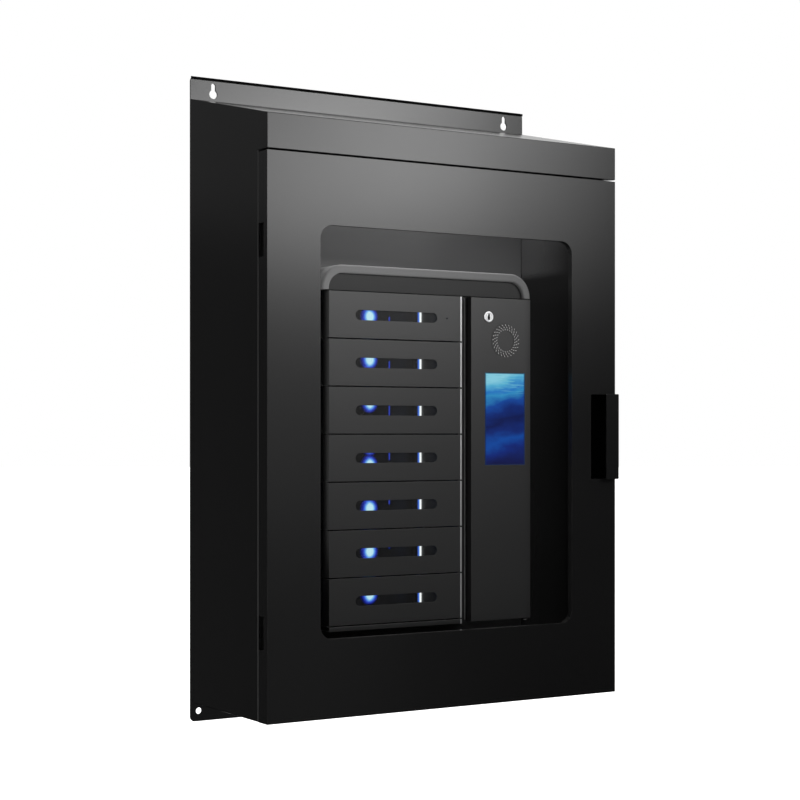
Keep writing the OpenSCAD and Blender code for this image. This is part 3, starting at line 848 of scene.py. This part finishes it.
def joined(parts: Sequence[bmesh.types.BMesh]) -> bmesh.types.BMesh:
    """Joins meshes into one.

    Args:
        parts: the meshes, which are used up.

    Returns:
        The joined mesh.
    """
    whole = bmesh.new()
    for part in parts:
        held = bpy.data.meshes.new("held")
        part.to_mesh(held)
        part.free()
        whole.from_mesh(held)
        bpy.data.meshes.remove(held)
    return whole


# Workshop


@dataclass
class Workshop:
    """Dresses CAD nodes and adds pieces, and keeps the materials already made."""

    nodes: dict[str, bpy.types.Object]
    effects: Effects
    made: dict[Finish, bpy.types.Material] = field(default_factory=dict)

    def material(self, finish: Finish) -> bpy.types.Material:
        """The finish's material, made when first asked for."""
        if finish not in self.made:
            self.made[finish] = finish.value.make(self.effects)
        return self.made[finish]

    def dress(self, finish: Finish, folds: dict[str, float]) -> None:
        """Gives CAD nodes their finish and soft edges.

        Args:
            finish: their finish.
            folds: width of each node's softened edges, or 0 to keep them.
        """
        for node, fold in folds.items():
            obj = self.nodes[node]
            obj.data.materials.clear()
            obj.data.materials.append(self.material(finish))
            if fold > 0:
                self.soften(obj, fold)
            log.info("%s: %s", node, finish.value.name)

    @staticmethod
    def soften(obj: bpy.types.Object, fold: float) -> None:
        """Rounds an object's sharp edges with modifiers.

        Args:
            obj: the object.
            fold: width of the rounding.
        """
        weld = obj.modifiers.new("weld", "WELD")
        weld.merge_threshold = 0.00001
        bevel = obj.modifiers.new("folds", "BEVEL")
        bevel.width = fold
        bevel.segments = 2
        bevel.limit_method = "ANGLE"
        bevel.angle_limit = math.radians(35)
        bevel.use_clamp_overlap = True
        level = obj.modifiers.new("shading", "WEIGHTED_NORMAL")
        level.weight = 100
        level.keep_sharp = False

    def add(
        self, name: str, mesh: bmesh.types.BMesh, finish: Finish, slot: Slot, body: Body, number: int | None = None,
        smooth: bool = True
    ) -> bpy.types.Object:
        """Adds a piece that rides on a body.

        Args:
            name: the piece's name.
            mesh: its mesh, which is used up.
            finish: its finish.
            slot: the record's slot it belongs to; not used.
            body: the body it rides on.
            number: the bay's number, for a body of one bay.
            smooth: whether its faces are shaded smooth where they meet gently.

        Returns:
            The new object.
        """
        data = bpy.data.meshes.new(name)
        mesh.to_mesh(data)
        mesh.free()
        if smooth:
            data.shade_smooth()
            data.set_sharp_from_angle(angle=math.radians(34))
        obj = bpy.data.objects.new(name, data)
        bpy.context.scene.collection.objects.link(obj)
        data.materials.append(self.material(finish))
        carrier = body.value if number is None else f"{body.value}{number}"
        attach(obj, carrier)
        log.info("%s: %s on %s", name, finish.value.name, carrier)
        return obj


# Sub-assemblies


@dataclass(frozen=True)
class HingeScrews:
    """Countersunk screws of the two door hinges, four at each hinge."""

    heights: Point2 = (0.14, 0.754)
    rise: float = 0.018
    across: Point2 = (-0.323, -0.308)
    radius: float = 0.0032
    proud: float = 0.0004
    sunk: Point2 = (0.001, -0.0006)
    steps: int = 20

    def heads(self, face: float, axis: Axis, foot: Sequence[Point2]) -> bmesh.types.BMesh:
        """Makes the heads.

        Args:
            face: Y of the leaf's face.
            axis: the way the heads point.
            foot: the last points of their profile, under the face.

        Returns:
            All the heads in one mesh.
        """
        profile = [(0.0, self.proud), (self.radius * 0.9, self.proud), (self.radius, 0.0), self.sunk, *foot]
        return joined([
            turned(profile, (x, face, height + rise), axis, self.steps)
            for height in self.heights for rise in (-self.rise, self.rise) for x in self.across])


@dataclass
class WallCabinet:
    """Back plate, folded shell and door frame, with what is fixed to them."""

    shop: Workshop
    screws: HingeScrews = HingeScrews()
    screw_foot: tuple[Point2, ...] = ((0.0009, 0.0), (0.0, 0.0))
    leaf_face: float = -0.2494
    hem_half: float = 0.3424
    hem_face: float = -0.004
    hem_z: Point2 = (1.0484, 1.0529)
    shadow_t: float = 0.0004
    shadow_edge: float = 0.00015

    def build(self) -> None:
        """Dresses the nodes and adds the black strip of painted shade under the hem and the hinge screws."""
        # the back plate and the shell carry painted light and shade on their inner faces
        self.shop.dress(Finish.PLATE_COAT, {"back_plate": 0.0006})
        self.shop.dress(Finish.SHELL_COAT, {"cabinet_shell": 0.0012})
        self.shop.dress(Finish.INNER_COAT, {"front_frame": 0.0004})
        self.shop.dress(Finish.RUBBER, {"cable_grommet": 0.0006})
        self.shop.dress(Finish.BLACK_PLASTIC, {"catch_magnets": 0.0008})
        self.shop.dress(Finish.RAIL, {"mounting_rails": 0.0005})
        self.shop.dress(Finish.HINGE_STEEL, {"door_hinge_bases": 0.0003, "door_hinge_pins": 0.0003})
        self.add_hem_shadow_strip()
        self.add_base_screws()

    def add_hem_shadow_strip(self) -> None:
        """Black strip over the hem along the top flange: painted shade where the hem's fold is in shadow."""
        low = (-self.hem_half, self.hem_face - self.shadow_t, self.hem_z[0])
        shade_band = rounded_box(low, (self.hem_half, self.hem_face, self.hem_z[1]), self.shadow_edge)
        # black strip of painted shade: the shadow under the hem's fold
        self.shop.add("flange_hem_shadow_strip", shade_band, Finish.SHADE_BLACK, Slot.CABINET_PAINT, Body.CABINET)

    def add_base_screws(self) -> None:
        """Screws that hold the fixed hinge leaves to the frame."""
        heads = self.screws.heads(self.leaf_face, Axis.FORWARD, self.screw_foot)
        self.shop.add("hinge_base_screws", heads, Finish.BRIGHT, Slot.PLATED_STEEL, Body.CABINET)


@dataclass
class OuterDoor:
    """Folded pan with the window, its stiffeners, hinge leaves, pull and strikes."""

    shop: Workshop
    screws: HingeScrews = HingeScrews()
    screw_foot: tuple[Point2, ...] = ((0.0, -0.0006),)
    skin_back: float = -0.277

    def build(self) -> None:
        """Dresses the nodes and adds the leaf screws."""
        self.shop.dress(Finish.CABINET_COAT, {"door_panel": 0.0012, "pull_plate": 0.0006})
        self.shop.dress(Finish.INNER_COAT, {"door_stiffeners": 0.0005})
        self.shop.dress(Finish.HINGE_STEEL, {"door_hinge_leaves": 0.0003})
        self.shop.dress(Finish.PLATED, {"door_strikes": 0.0004})
        self.shop.dress(Finish.CUP_PLASTIC, {"pull_cup": 0.0006})
        self.add_leaf_screws()

    def add_leaf_screws(self) -> None:
        """Screws that hold the moving hinge leaves behind the skin."""
        heads = self.screws.heads(self.skin_back, Axis.BACK, self.screw_foot)
        self.shop.add("hinge_leaf_screws", heads, Finish.BRIGHT, Slot.PLATED_STEEL, Body.DOOR)


@dataclass
class LockerCase:
    """Fixed parts of the charging locker: case, shelves, cap, mullion and filler."""

    shop: Workshop
    filler_right: float = 0.064
    filler_z: Point2 = (0.129, 0.1365)
    bead_x: float = 0.0801
    bead_y: float = -0.2001
    bead_r: float = 0.0008
    bead_z: Point2 = (0.133, 0.683)
    bead_mid: float = 0.4
    bead_tip: float = 0.0004

    def build(self) -> None:
        """Dresses the nodes and adds the bright pieces that stand in for the highlights on the filler's edge and on
        the mullion's bead.
        """
        self.shop.dress(Finish.CASE_COAT, {"locker_case": 0.0006})
        self.shop.dress(Finish.INNER_COAT, {"bay_shelves": 0.0002, "bay_divider": 0.0003, "mullion": 0.0003})
        self.shop.dress(Finish.LOCKER_COAT, {"bottom_filler": 0.0004})
        # cap rim: its own grey with painted shade towards the pull side
        self.shop.dress(Finish.RIM_COAT, {"cap_rim": 0.0})
        self.shop.dress(Finish.CAP_COAT, {"cap_plate": 0.0004})
        self.shop.dress(Finish.PLATED, {"bay_hinge_rod": 0.0, "service_hinge_rod": 0.0})
        self.shop.dress(Finish.BRIGHT, {"case_screws": 0.0004})
        self.add_filler_edge()
        self.add_bead_highlight()

    def add_filler_edge(self) -> None:
        """Bright strip at the right end of the strip under the bays, standing in for the highlight on its edge."""
        strip = highlight_strip(self.filler_right, self.filler_z)
        # bright strip standing in for the highlight on the filler's right edge
        self.shop.add("filler_edge_highlight", strip, Finish.EDGE_HIGHLIGHT_METAL, Slot.LOCKER_PAINT, Body.CABINET)

    def add_bead_highlight(self) -> None:
        """Half-round metal bead along the mullion, in the groove beside the bays, standing in for the highlight on the
        mullion's own bead.
        """
        r, (low, high) = self.bead_r, self.bead_z
        profile = [(0.0, low), (r, low + self.bead_tip), (r, self.bead_mid), (r, high - self.bead_tip), (0.0, high)]
        bead = turned(profile, (self.bead_x, self.bead_y, 0.0), Axis.UP, 16)
        # metal bead standing in for the highlight on the mullion's bead
        self.shop.add("mullion_bead_highlight", bead, Finish.BEAD_HIGHLIGHT, Slot.LOCKER_PAINT, Body.CABINET)


@dataclass
class BayLights:
    """Lamps, light bars and status lines on the back wall of the bays, and painted pools of light round the lamps."""

    shop: Workshop
    lamp_x: float = -0.03
    lamp_rise: float = 0.0109
    lamp_r: float = 0.0095
    lamp_rings: int = 10
    glow_x: float = -0.0225
    glow_r: float = 0.0185
    glow_most: float = 0.9
    dark_from: Point2 = (0.022, 0.029)
    top_pools: Point2 = (0.0102, -0.0231)
    pool_step: float = 0.00272
    pool_most: float = 0.0245
    low_from: int = 3
    plate_rings: int = 14
    plate_steps: int = 48
    wall: float = -0.052
    proud: float = 0.006
    plate_t: float = 0.0008
    bottom_mid: float = 0.17665
    line_x: float = 0.0186
    line_z: Point2 = (-0.0067, 0.0116)
    line_r: float = 0.0012
    line_glow: float = 0.21
    bar_x: Point2 = (0.063, 0.066)
    bar_y: Point2 = (-0.084, -0.0685)
    bar_half: float = 0.022
    bar_cuts: int = 16
    bar_levels: tuple[Point2, ...] = ((0.0015, 1.0), (0.0068, 0.33))

    def middles(self) -> list[float]:
        """Middle height of every bay, from the bottom up."""
        return [self.bottom_mid + n * BAY_PITCH for n in range(len(BAYS))]

    def build(self) -> None:
        """Replaces the plain lamps and bars and adds the plates of painted light and the status lines."""
        self.add_lenses()
        self.add_light_pool_plates()
        self.add_bars()
        self.add_status_lines()

    def lamp(self, name: str, parts: Sequence[bmesh.types.BMesh], smooth: bool = True) -> bpy.types.Object:
        """Adds a lit piece.

        Args:
            name: the piece's name.
            parts: its meshes, which are used up.
            smooth: as in Workshop.add.

        Returns:
            The new object.
        """
        return self.shop.add(name, joined(parts), Finish.LAMP_AND_POOL_GLOW, Slot.BAY_LIGHT, Body.CABINET, smooth=smooth)

    def glow(self, obj: bpy.types.Object, value: Sequence[float]) -> None:
        """Stores how strongly each point of a lit piece shines.

        Args:
            obj: the lit piece.
            value: one number for each vertex, from 0 to 1.
        """
        layer = obj.data.attributes.new("glow", "FLOAT", "POINT")
        layer.data.foreach_set("value", value)

    def pools(self) -> list[float]:
        """Middles of the two pools of light of every bay.

        Returns:
            Their heights. They sit a little higher in each bay further down, and low in the first bays.
        """
        heights = []
        for n, mid in enumerate(reversed(self.middles())):
            high, low = (rise + self.pool_step * n for rise in self.top_pools)
            heights += [mid + min(self.pool_most, high), mid + (low if n >= self.low_from else -self.pool_most)]
        return heights

    def lamp_glow(self, obj: bpy.types.Object) -> None:
        """Stores painted light: a glow that fades outwards from each pool, and darkens towards the shelves.

        Args:
            obj: lenses or plates.
        """
        heights, middles = self.pools(), self.middles()
        lit, dark = self.dark_from
        values = []
        for v in obj.data.vertices:
            away = min(math.hypot(v.co.x - self.glow_x, v.co.z - z) for z in heights) / self.glow_r
            rise = min(abs(v.co.z - mid) for mid in middles)
            open_share = max(0.0, min(1.0, (dark - rise) / (dark - lit)))
            values.append(max(0.0, min(self.glow_most, 1.0 - away)) * open_share)
        self.glow(obj, values)

    def add_light_pool_plates(self) -> None:
        """Thin round plates on the back wall that glow as painted pools of each lamp's light."""
        profile = [(1.0, 0.0)] + [(1.0 - n / self.plate_rings, 1.0) for n in range(self.plate_rings + 1)]
        plates = []
        for height in self.pools():
            plate = turned(profile, (0.0, 0.0, 0.0), Axis.FORWARD, self.plate_steps)
            bmesh.ops.scale(plate, vec=(self.glow_r, self.plate_t, self.glow_r), verts=plate.verts)
            bmesh.ops.translate(plate, vec=(self.glow_x, self.wall, height), verts=plate.verts)
            plates.append(plate)
        # round plates glowing as painted pools of light round the lamps
        self.lamp_glow(self.lamp("bay_painted_light_pools", plates))

    def add_lenses(self) -> None:
        """Domed lenses, two in each bay."""
        quarters = [math.pi / 2 * n / self.lamp_rings for n in range(self.lamp_rings)]
        dome = [(self.lamp_r * math.cos(a), self.proud * (0.55 + 0.45 * math.sin(a))) for a in quarters]
        profile = [(self.lamp_r, 0.0), *dome, (0.0, self.proud)]
        lenses = self.lamp("bay_lamp_lenses", [
            turned(profile, (self.lamp_x, self.wall, mid + side * self.lamp_rise), Axis.FORWARD, 40)
            for mid in self.middles() for side in (-1, 1)])
        self.lamp_glow(lenses)
        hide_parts("bay_lamps")

    def add_bars(self) -> None:
        """Upright light bars beside the latches, white at the front and blue towards the wall."""
        (left, right), (front, back), half = self.bar_x, self.bar_y, self.bar_half
        depths = [front + (back - front) * n / self.bar_cuts for n in range(self.bar_cuts + 1)]
        section = [(left, -half), (right, -half), (right, half), (left, half)]
        parts = [tube([[(x, y, mid + z) for x, z in section] for y in depths]) for mid in self.middles()]
        bars = self.lamp("bay_bar_diffusers", parts, smooth=False)
        self.glow(bars, [self.bar_fade(v.co.y - front) for v in bars.data.vertices])
        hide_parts("bay_light_bars")

    def bar_fade(self, depth: float) -> float:
        """Glow of a light bar at a depth behind its front face."""
        return next((level for reach, level in self.bar_levels if depth < reach), 0.0)

    def add_status_lines(self) -> None:
        """Short upright light pipes on the back wall."""
        r, (low, high) = self.line_r, self.line_z
        profile = [(0.0, low), (r, low + r), (r, 0.0), (r, high - r), (0.0, high)]
        lines = self.lamp("status_light_pipes", [
            turned(profile, (self.line_x, self.wall - r, mid), Axis.UP, 12) for mid in self.middles()])
        self.glow(lines, [self.line_glow] * len(lines.data.vertices))


@dataclass
class BayFittings:
    """Charging sockets and electric latches."""

    shop: Workshop

    def build(self) -> None:
        """Dresses the sockets, the latch boxes and the bolts."""
        self.shop.dress(Finish.SOCKET, {"charge_outlets": 0.0006})
        self.shop.dress(Finish.BLACK_PLASTIC, {"latch_modules": 0.0006})
        self.shop.dress(Finish.BRIGHT, {f"latch_bolt_{k}": 0.0003 for k in BAYS})


@dataclass
class BayDoor:
    """One bay's door with its pane and the bright strip that stands in for its edge highlight."""

    shop: Workshop
    number: int
    top_mid: float = 0.64645
    half: float = 0.03815
    right: float = 0.064
    inset: float = 0.0004

    @property
    def middle(self) -> float:
        """Middle height of the bay."""
        return self.top_mid - (self.number - 1) * BAY_PITCH

    def build(self) -> None:
        """Dresses the door and its pane and adds the strip standing in for the edge highlight."""
        self.shop.dress(Finish.LOCKER_COAT, {f"bay_door_{self.number}": 0.0005})
        self.shop.dress(Finish.PANE, {f"bay_window_{self.number}": 0.0})
        strip = highlight_strip(self.right, (self.middle - self.half + self.inset, self.middle + self.half - self.inset))
        # bright strip standing in for the highlight on the door's right edge
        self.shop.add(
            f"bay_edge_{self.number}", strip, Finish.EDGE_HIGHLIGHT_METAL, Slot.LOCKER_PAINT, Body.BAY, self.number)


@dataclass
class ControlColumn:
    """Service panel with its screen, its cam lock with a dark plate of painted shade in its keyway, and the ribs round
    the speaker's middle.
    """

    shop: Workshop
    lock: Point2 = (0.119, 0.652)
    key_half: Point2 = (0.0027, 0.0052)
    key_depth: float = 0.0003
    key_corners: tuple[Point2, ...] = (
        (-0.45, -1.0), (0.45, -1.0), (1.0, -0.35), (0.7, 0.35), (0.45, 1.0), (-0.45, 1.0), (-0.7, 0.35), (-1.0, -0.35))
    face: float = -0.217
    speaker: Point2 = (0.154, 0.612)
    ring_r: float = 0.0193
    ring_gap: float = 0.0038
    rings: int = 3
    ribs: int = 25
    ring_turn: float = math.radians(6)
    rib_half: Point2 = (0.0015, 0.00055)
    rib_high: float = 0.0004
    rib_edge: float = 0.0002
    rib_lean: float = math.radians(38)

    def build(self) -> None:
        """Dresses the nodes and adds the ribs and the keyway's painted shade."""
        self.shop.dress(Finish.LOCKER_COAT, {"service_panel": 0.0005, "speaker_grille": 0.0})
        self.shop.dress(Finish.BLACK_PLASTIC, {"speaker": 0.0005, "display_module": 0.0008})
        self.shop.dress(Finish.PICTURE, {"screen_glass": 0.0})
        self.shop.dress(Finish.BRIGHT, {"lock_barrel": 0.001, "lock_plug": 0.0003})
        self.shop.dress(Finish.PLATED, {"lock_cam": 0.0003})
        self.add_ribs()
        self.add_keyway_shade()

    def add_keyway_shade(self) -> None:
        """Dark keyhole-shaped plate on the face of the lock's plug: painted shade standing in for the shadow in the
        keyhole.
        """
        (wide, high), (x, z) = self.key_half, self.lock
        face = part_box("lock_plug")[0][1]
        outline = [(x + wide * dx, z + high * dz) for dx, dz in self.key_corners]
        key = extruded(outline, face - self.key_depth, face)
        # dark plate of painted shade: the shadow inside the keyhole
        self.shop.add("lock_keyway_shade", key, Finish.SHADE_BLACK, Slot.LOCK_CHROME, Body.LOCK)

    def add_ribs(self) -> None:
        """Short slanted ribs pressed up between the holes of the speaker's rings."""
        (long, thick), (mid_x, mid_z) = self.rib_half, self.speaker
        ribs = []
        for ring in range(self.rings):
            radius = self.ring_r + self.ring_gap * ring
            for n in range(self.ribs):
                angle = math.tau * (n + 0.5) / self.ribs + self.ring_turn * ring
                rib = rounded_box((-long, -self.rib_high, -thick), (long, 0.0, thick), self.rib_edge, 1)
                turn = Matrix.Rotation(-(angle + self.rib_lean), 4, "Y")
                spot = (mid_x + radius * math.cos(angle), self.face, mid_z + radius * math.sin(angle))
                bmesh.ops.transform(rib, matrix=Matrix.Translation(spot) @ turn, verts=rib.verts)
                ribs.append(rib)
        self.shop.add("speaker_ribs", joined(ribs), Finish.RIB_GREY, Slot.LOCKER_PAINT, Body.COLUMN)


@dataclass
class Electronics:
    """Control board and power supply with their small parts."""

    shop: Workshop
    board_face: float = -0.06
    caps: tuple[Point2, ...] = ((0.1, 0.28), (0.115, 0.28), (0.13, 0.28), (0.1, 0.37), (0.145, 0.37))
    cap_r: float = 0.0045
    cap_h: float = 0.011
    supply_face: float = -0.041
    louvres: int = 9
    louvre_half: float = 0.055
    louvre_z: Point2 = (0.38, 0.384)
    louvre_pitch: float = 0.011
    louvre_high: float = 0.0014
    louvre_edge: float = 0.0006

    def build(self) -> None:
        """Dresses the nodes and adds the board's and the supply's small parts."""
        self.shop.dress(Finish.BOARD, {"control_board": 0.0002})
        self.shop.dress(Finish.HOUSING, {"power_supply": 0.0008})
        self.add_capacitors()
        self.add_louvres()

    def add_capacitors(self) -> None:
        """Can capacitors on the board, each with a crimp near its foot and a sunk top."""
        r, h = self.cap_r, self.cap_h
        profile = [
            (0.0, 0.0), (r, 0.0), (r, 0.0012), (r * 0.92, 0.0018), (r, 0.0024), (r, h - 0.0005), (r * 0.9, h),
            (r * 0.8, h - 0.0003), (0.0, h - 0.0003)]
        cans = [turned(profile, (x, self.board_face, z), Axis.FORWARD, 24) for x, z in self.caps]
        self.shop.add("board_capacitors", joined(cans), Finish.BRIGHT, Slot.BOARD, Body.CABINET)

    def add_louvres(self) -> None:
        """Raised louvres on the face of the power supply."""
        half, front, (low, high) = self.louvre_half, self.supply_face - self.louvre_high, self.louvre_z
        rises = [n * self.louvre_pitch for n in range(self.louvres)]
        rows = [
            rounded_box((-half, front, low + rise), (half, self.supply_face, high + rise), self.louvre_edge)
            for rise in rises]
        self.shop.add("supply_louvres", joined(rows), Finish.HOUSING, Slot.HOUSING, Body.CABINET)


# Studio


@dataclass(frozen=True)
class Softbox:
    """A rectangular lamp."""

    name: str
    place: Point3
    aim: Point3
    width: float
    height: float
    radiance: float
    inside: bool = False

    def build(self) -> None:
        """Adds the lamp to the scene. One inside the cabinet isn't seen itself."""
        data = bpy.data.lights.new(self.name, "AREA")
        data.shape = "RECTANGLE"
        data.size, data.size_y = self.width, self.height
        data.energy = math.pi * self.width * self.height * self.radiance
        obj = bpy.data.objects.new(self.name, data)
        obj.location = self.place
        obj.rotation_euler = (Vector(self.aim) - Vector(self.place)).to_track_quat("-Z", "Y").to_euler()
        obj.visible_camera = not self.inside
        bpy.context.scene.collection.objects.link(obj)


@dataclass(frozen=True)
class LightBank:
    """Softboxes side by side in one plane, each at its own listed level. They look towards +Y."""

    name: str
    plane: float
    across: tuple[float, ...]
    up: tuple[float, ...]
    levels: tuple[tuple[float, ...], ...]

    def build(self) -> None:
        """Adds one softbox for each field of the bank."""
        for row, (low, high) in enumerate(zip(self.up, self.up[1:])):
            for column, (left, right) in enumerate(zip(self.across, self.across[1:])):
                x, z = (left + right) / 2, (low + high) / 2
                name, level = f"{self.name}_{row}_{column}", self.levels[row][column]
                Softbox(name, (x, self.plane, z), (x, 0.0, z), right - left, high - low, level).build()


@dataclass(frozen=True)
class Curtain:
    """A dark curtain and floor cloth that only glossy surfaces see, so that black paint doesn't mirror the room."""

    name: str
    rail: tuple[Point2, ...]
    foot: float = -0.7
    top: float = 4.3

    def build(self, shop: Workshop) -> None:
        """Adds the curtain to the stage.

        Args:
            shop: gives its finish.
        """
        data = bpy.data.meshes.new(self.name)
        points = [(x, y, z) for z in (self.foot, self.top) for x, y in self.rail]
        count = len(self.rail)
        sides = [(n, n + 1, count + n + 1, count + n) for n in range(2)]
        data.from_pydata(points, [], [*sides, tuple(range(count))])
        data.materials.append(shop.material(Finish.CURTAIN))
        obj = bpy.data.objects.new(self.name, data)
        bpy.context.scene.collection.objects.link(obj)
        obj.visible_camera = obj.visible_diffuse = obj.visible_shadow = False
        obj.visible_transmission = obj.visible_volume_scatter = False


@dataclass
class Studio:
    """Camera, lamps, curtains, floor and surroundings."""

    shop: Workshop
    camera_place: Point3 = (-1.634, -2.7543, 0.4517)
    heading_deg: float = 31.8
    lens: float = 80.8
    sensor: float = 36.0
    shift_up: float = 0.042
    clip: Point2 = (0.05, 200.0)
    floor_z: float = -0.72
    floor_r: float = 60.0
    ambient: float = 0.875
    lamps: tuple[Softbox, ...] = (
        Softbox("front_fill", (0.7, -2.2, 0.56), (0.7, 0.0, 0.56), 0.8, 0.72, 0.5),
        Softbox("low_fill", (0.7, -2.2, -0.2), (0.7, 0.0, -0.2), 0.8, 0.8, 0.16),
        Softbox("left_fill", (-1.45, 2.2, 0.25), (-1.45, 0.0, 0.25), 0.9, 1.7, 0.055),
        Softbox("left_high_fill", (-1.8, 2.2, 1.65), (-1.8, 0.0, 1.65), 1.6, 1.1, 0.145),
        Softbox("inside_top", (0.0675, -0.13, 0.885), (0.0675, -0.13, 0.0), 0.535, 0.2, 4.8, True),
        Softbox("inside_front", (0.165, -0.25, 0.835), (0.165, 0.0, 0.835), 0.33, 0.1, 0.42, True),
        Softbox("inside_left", (-0.335, -0.12, 0.55), (0.0, -0.12, 0.55), 0.2, 0.6, 0.7, True),
        Softbox("inside_right", (0.275, -0.005, 0.4), (0.275, -0.2, 0.4), 0.12, 0.75, 0.02, True),
    )
    bank: LightBank = LightBank("key", -2.2, (0.3, 0.65, 1.0, 1.35, 1.8), (0.92, 1.05, 1.25, 1.5, 2.0), (
        (2.7, 4.9, 2.9, 1.3), (5.3, 7.5, 8.5, 2.7), (3.6, 5.9, 9.3, 3.6), (0.9, 2.3, 3.4, 6.9)))
    curtains: tuple[Curtain, ...] = (
        Curtain("front_curtain", ((-1.2, -2.9), (6.0, -2.9), (6.0, 0.4), (-1.2, 0.4))),
        Curtain("rear_curtain", ((0.6, 2.9), (-6.0, 2.9), (-6.0, -0.3), (0.6, -0.3))),
    )

    def build(self) -> None:
        """Builds the whole studio."""
        self.add_camera()
        for lamp in self.lamps:
            lamp.build()
        self.bank.build()
        for curtain in self.curtains:
            curtain.build(self.shop)
        self.add_floor()
        self.set_world()
        bpy.context.scene.view_settings.view_transform = "Standard"

    def add_camera(self) -> None:
        """Level camera on the hinge side of the cabinet."""
        data = bpy.data.cameras.new("camera")
        data.lens, data.sensor_width, data.shift_y = self.lens, self.sensor, self.shift_up
        data.clip_start, data.clip_end = self.clip
        obj = bpy.data.objects.new("camera", data)
        turn = math.radians(self.heading_deg)
        obj.location = self.camera_place
        obj.rotation_euler = Vector((math.sin(turn), math.cos(turn), 0.0)).to_track_quat("-Z", "Y").to_euler()
        bpy.context.scene.collection.objects.link(obj)
        bpy.context.scene.camera = obj

    def add_floor(self) -> None:
        """Round pale floor below the hanging cabinet."""
        bm = bmesh.new()
        bmesh.ops.create_circle(bm, cap_ends=True, segments=96, radius=self.floor_r)
        data = bpy.data.meshes.new("floor")
        bm.to_mesh(data)
        bm.free()
        data.materials.append(self.shop.material(Finish.FLOOR))
        obj = bpy.data.objects.new("floor", data)
        obj.location = (0.0, 0.0, self.floor_z)
        bpy.context.scene.collection.objects.link(obj)

    def set_world(self) -> None:
        """White surroundings for what is seen directly or in a reflection, and a grey room light for the rest."""
        world = bpy.data.worlds.new("studio")
        bpy.context.scene.world = world
        world.use_nodes = True
        w = Wiring(world.node_tree)
        w.tree.nodes.clear()
        white = w.node("Background", {"Color": WHITE})
        grey = w.node("Background", {"Color": WHITE, "Strength": self.ambient})
        mix = w.node("MixShader", {0: w.seen_directly(), 1: grey.outputs[0], 2: white.outputs[0]})
        w.node("OutputWorld", {0: mix.outputs[0]})


def corners(box: tuple[Vector, Vector]) -> list[list[float]]:
    """Plain lists of a box's two corners."""
    return [[round(float(c), 6) for c in corner] for corner in box]


def main() -> None:
    """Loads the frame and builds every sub-assembly in order."""
    logging.basicConfig(level=logging.INFO, format="%(name)s: %(message)s")
    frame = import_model()
    shop = Workshop(frame["nodes"], Effects())
    Studio(shop).build()
    for assembly in (WallCabinet, OuterDoor, LockerCase, BayLights, BayFittings):
        assembly(shop).build()
    for number in BAYS:
        BayDoor(shop, number).build()
    ControlColumn(shop).build()
    Electronics(shop).build()


if __name__ == "__main__":
    main()
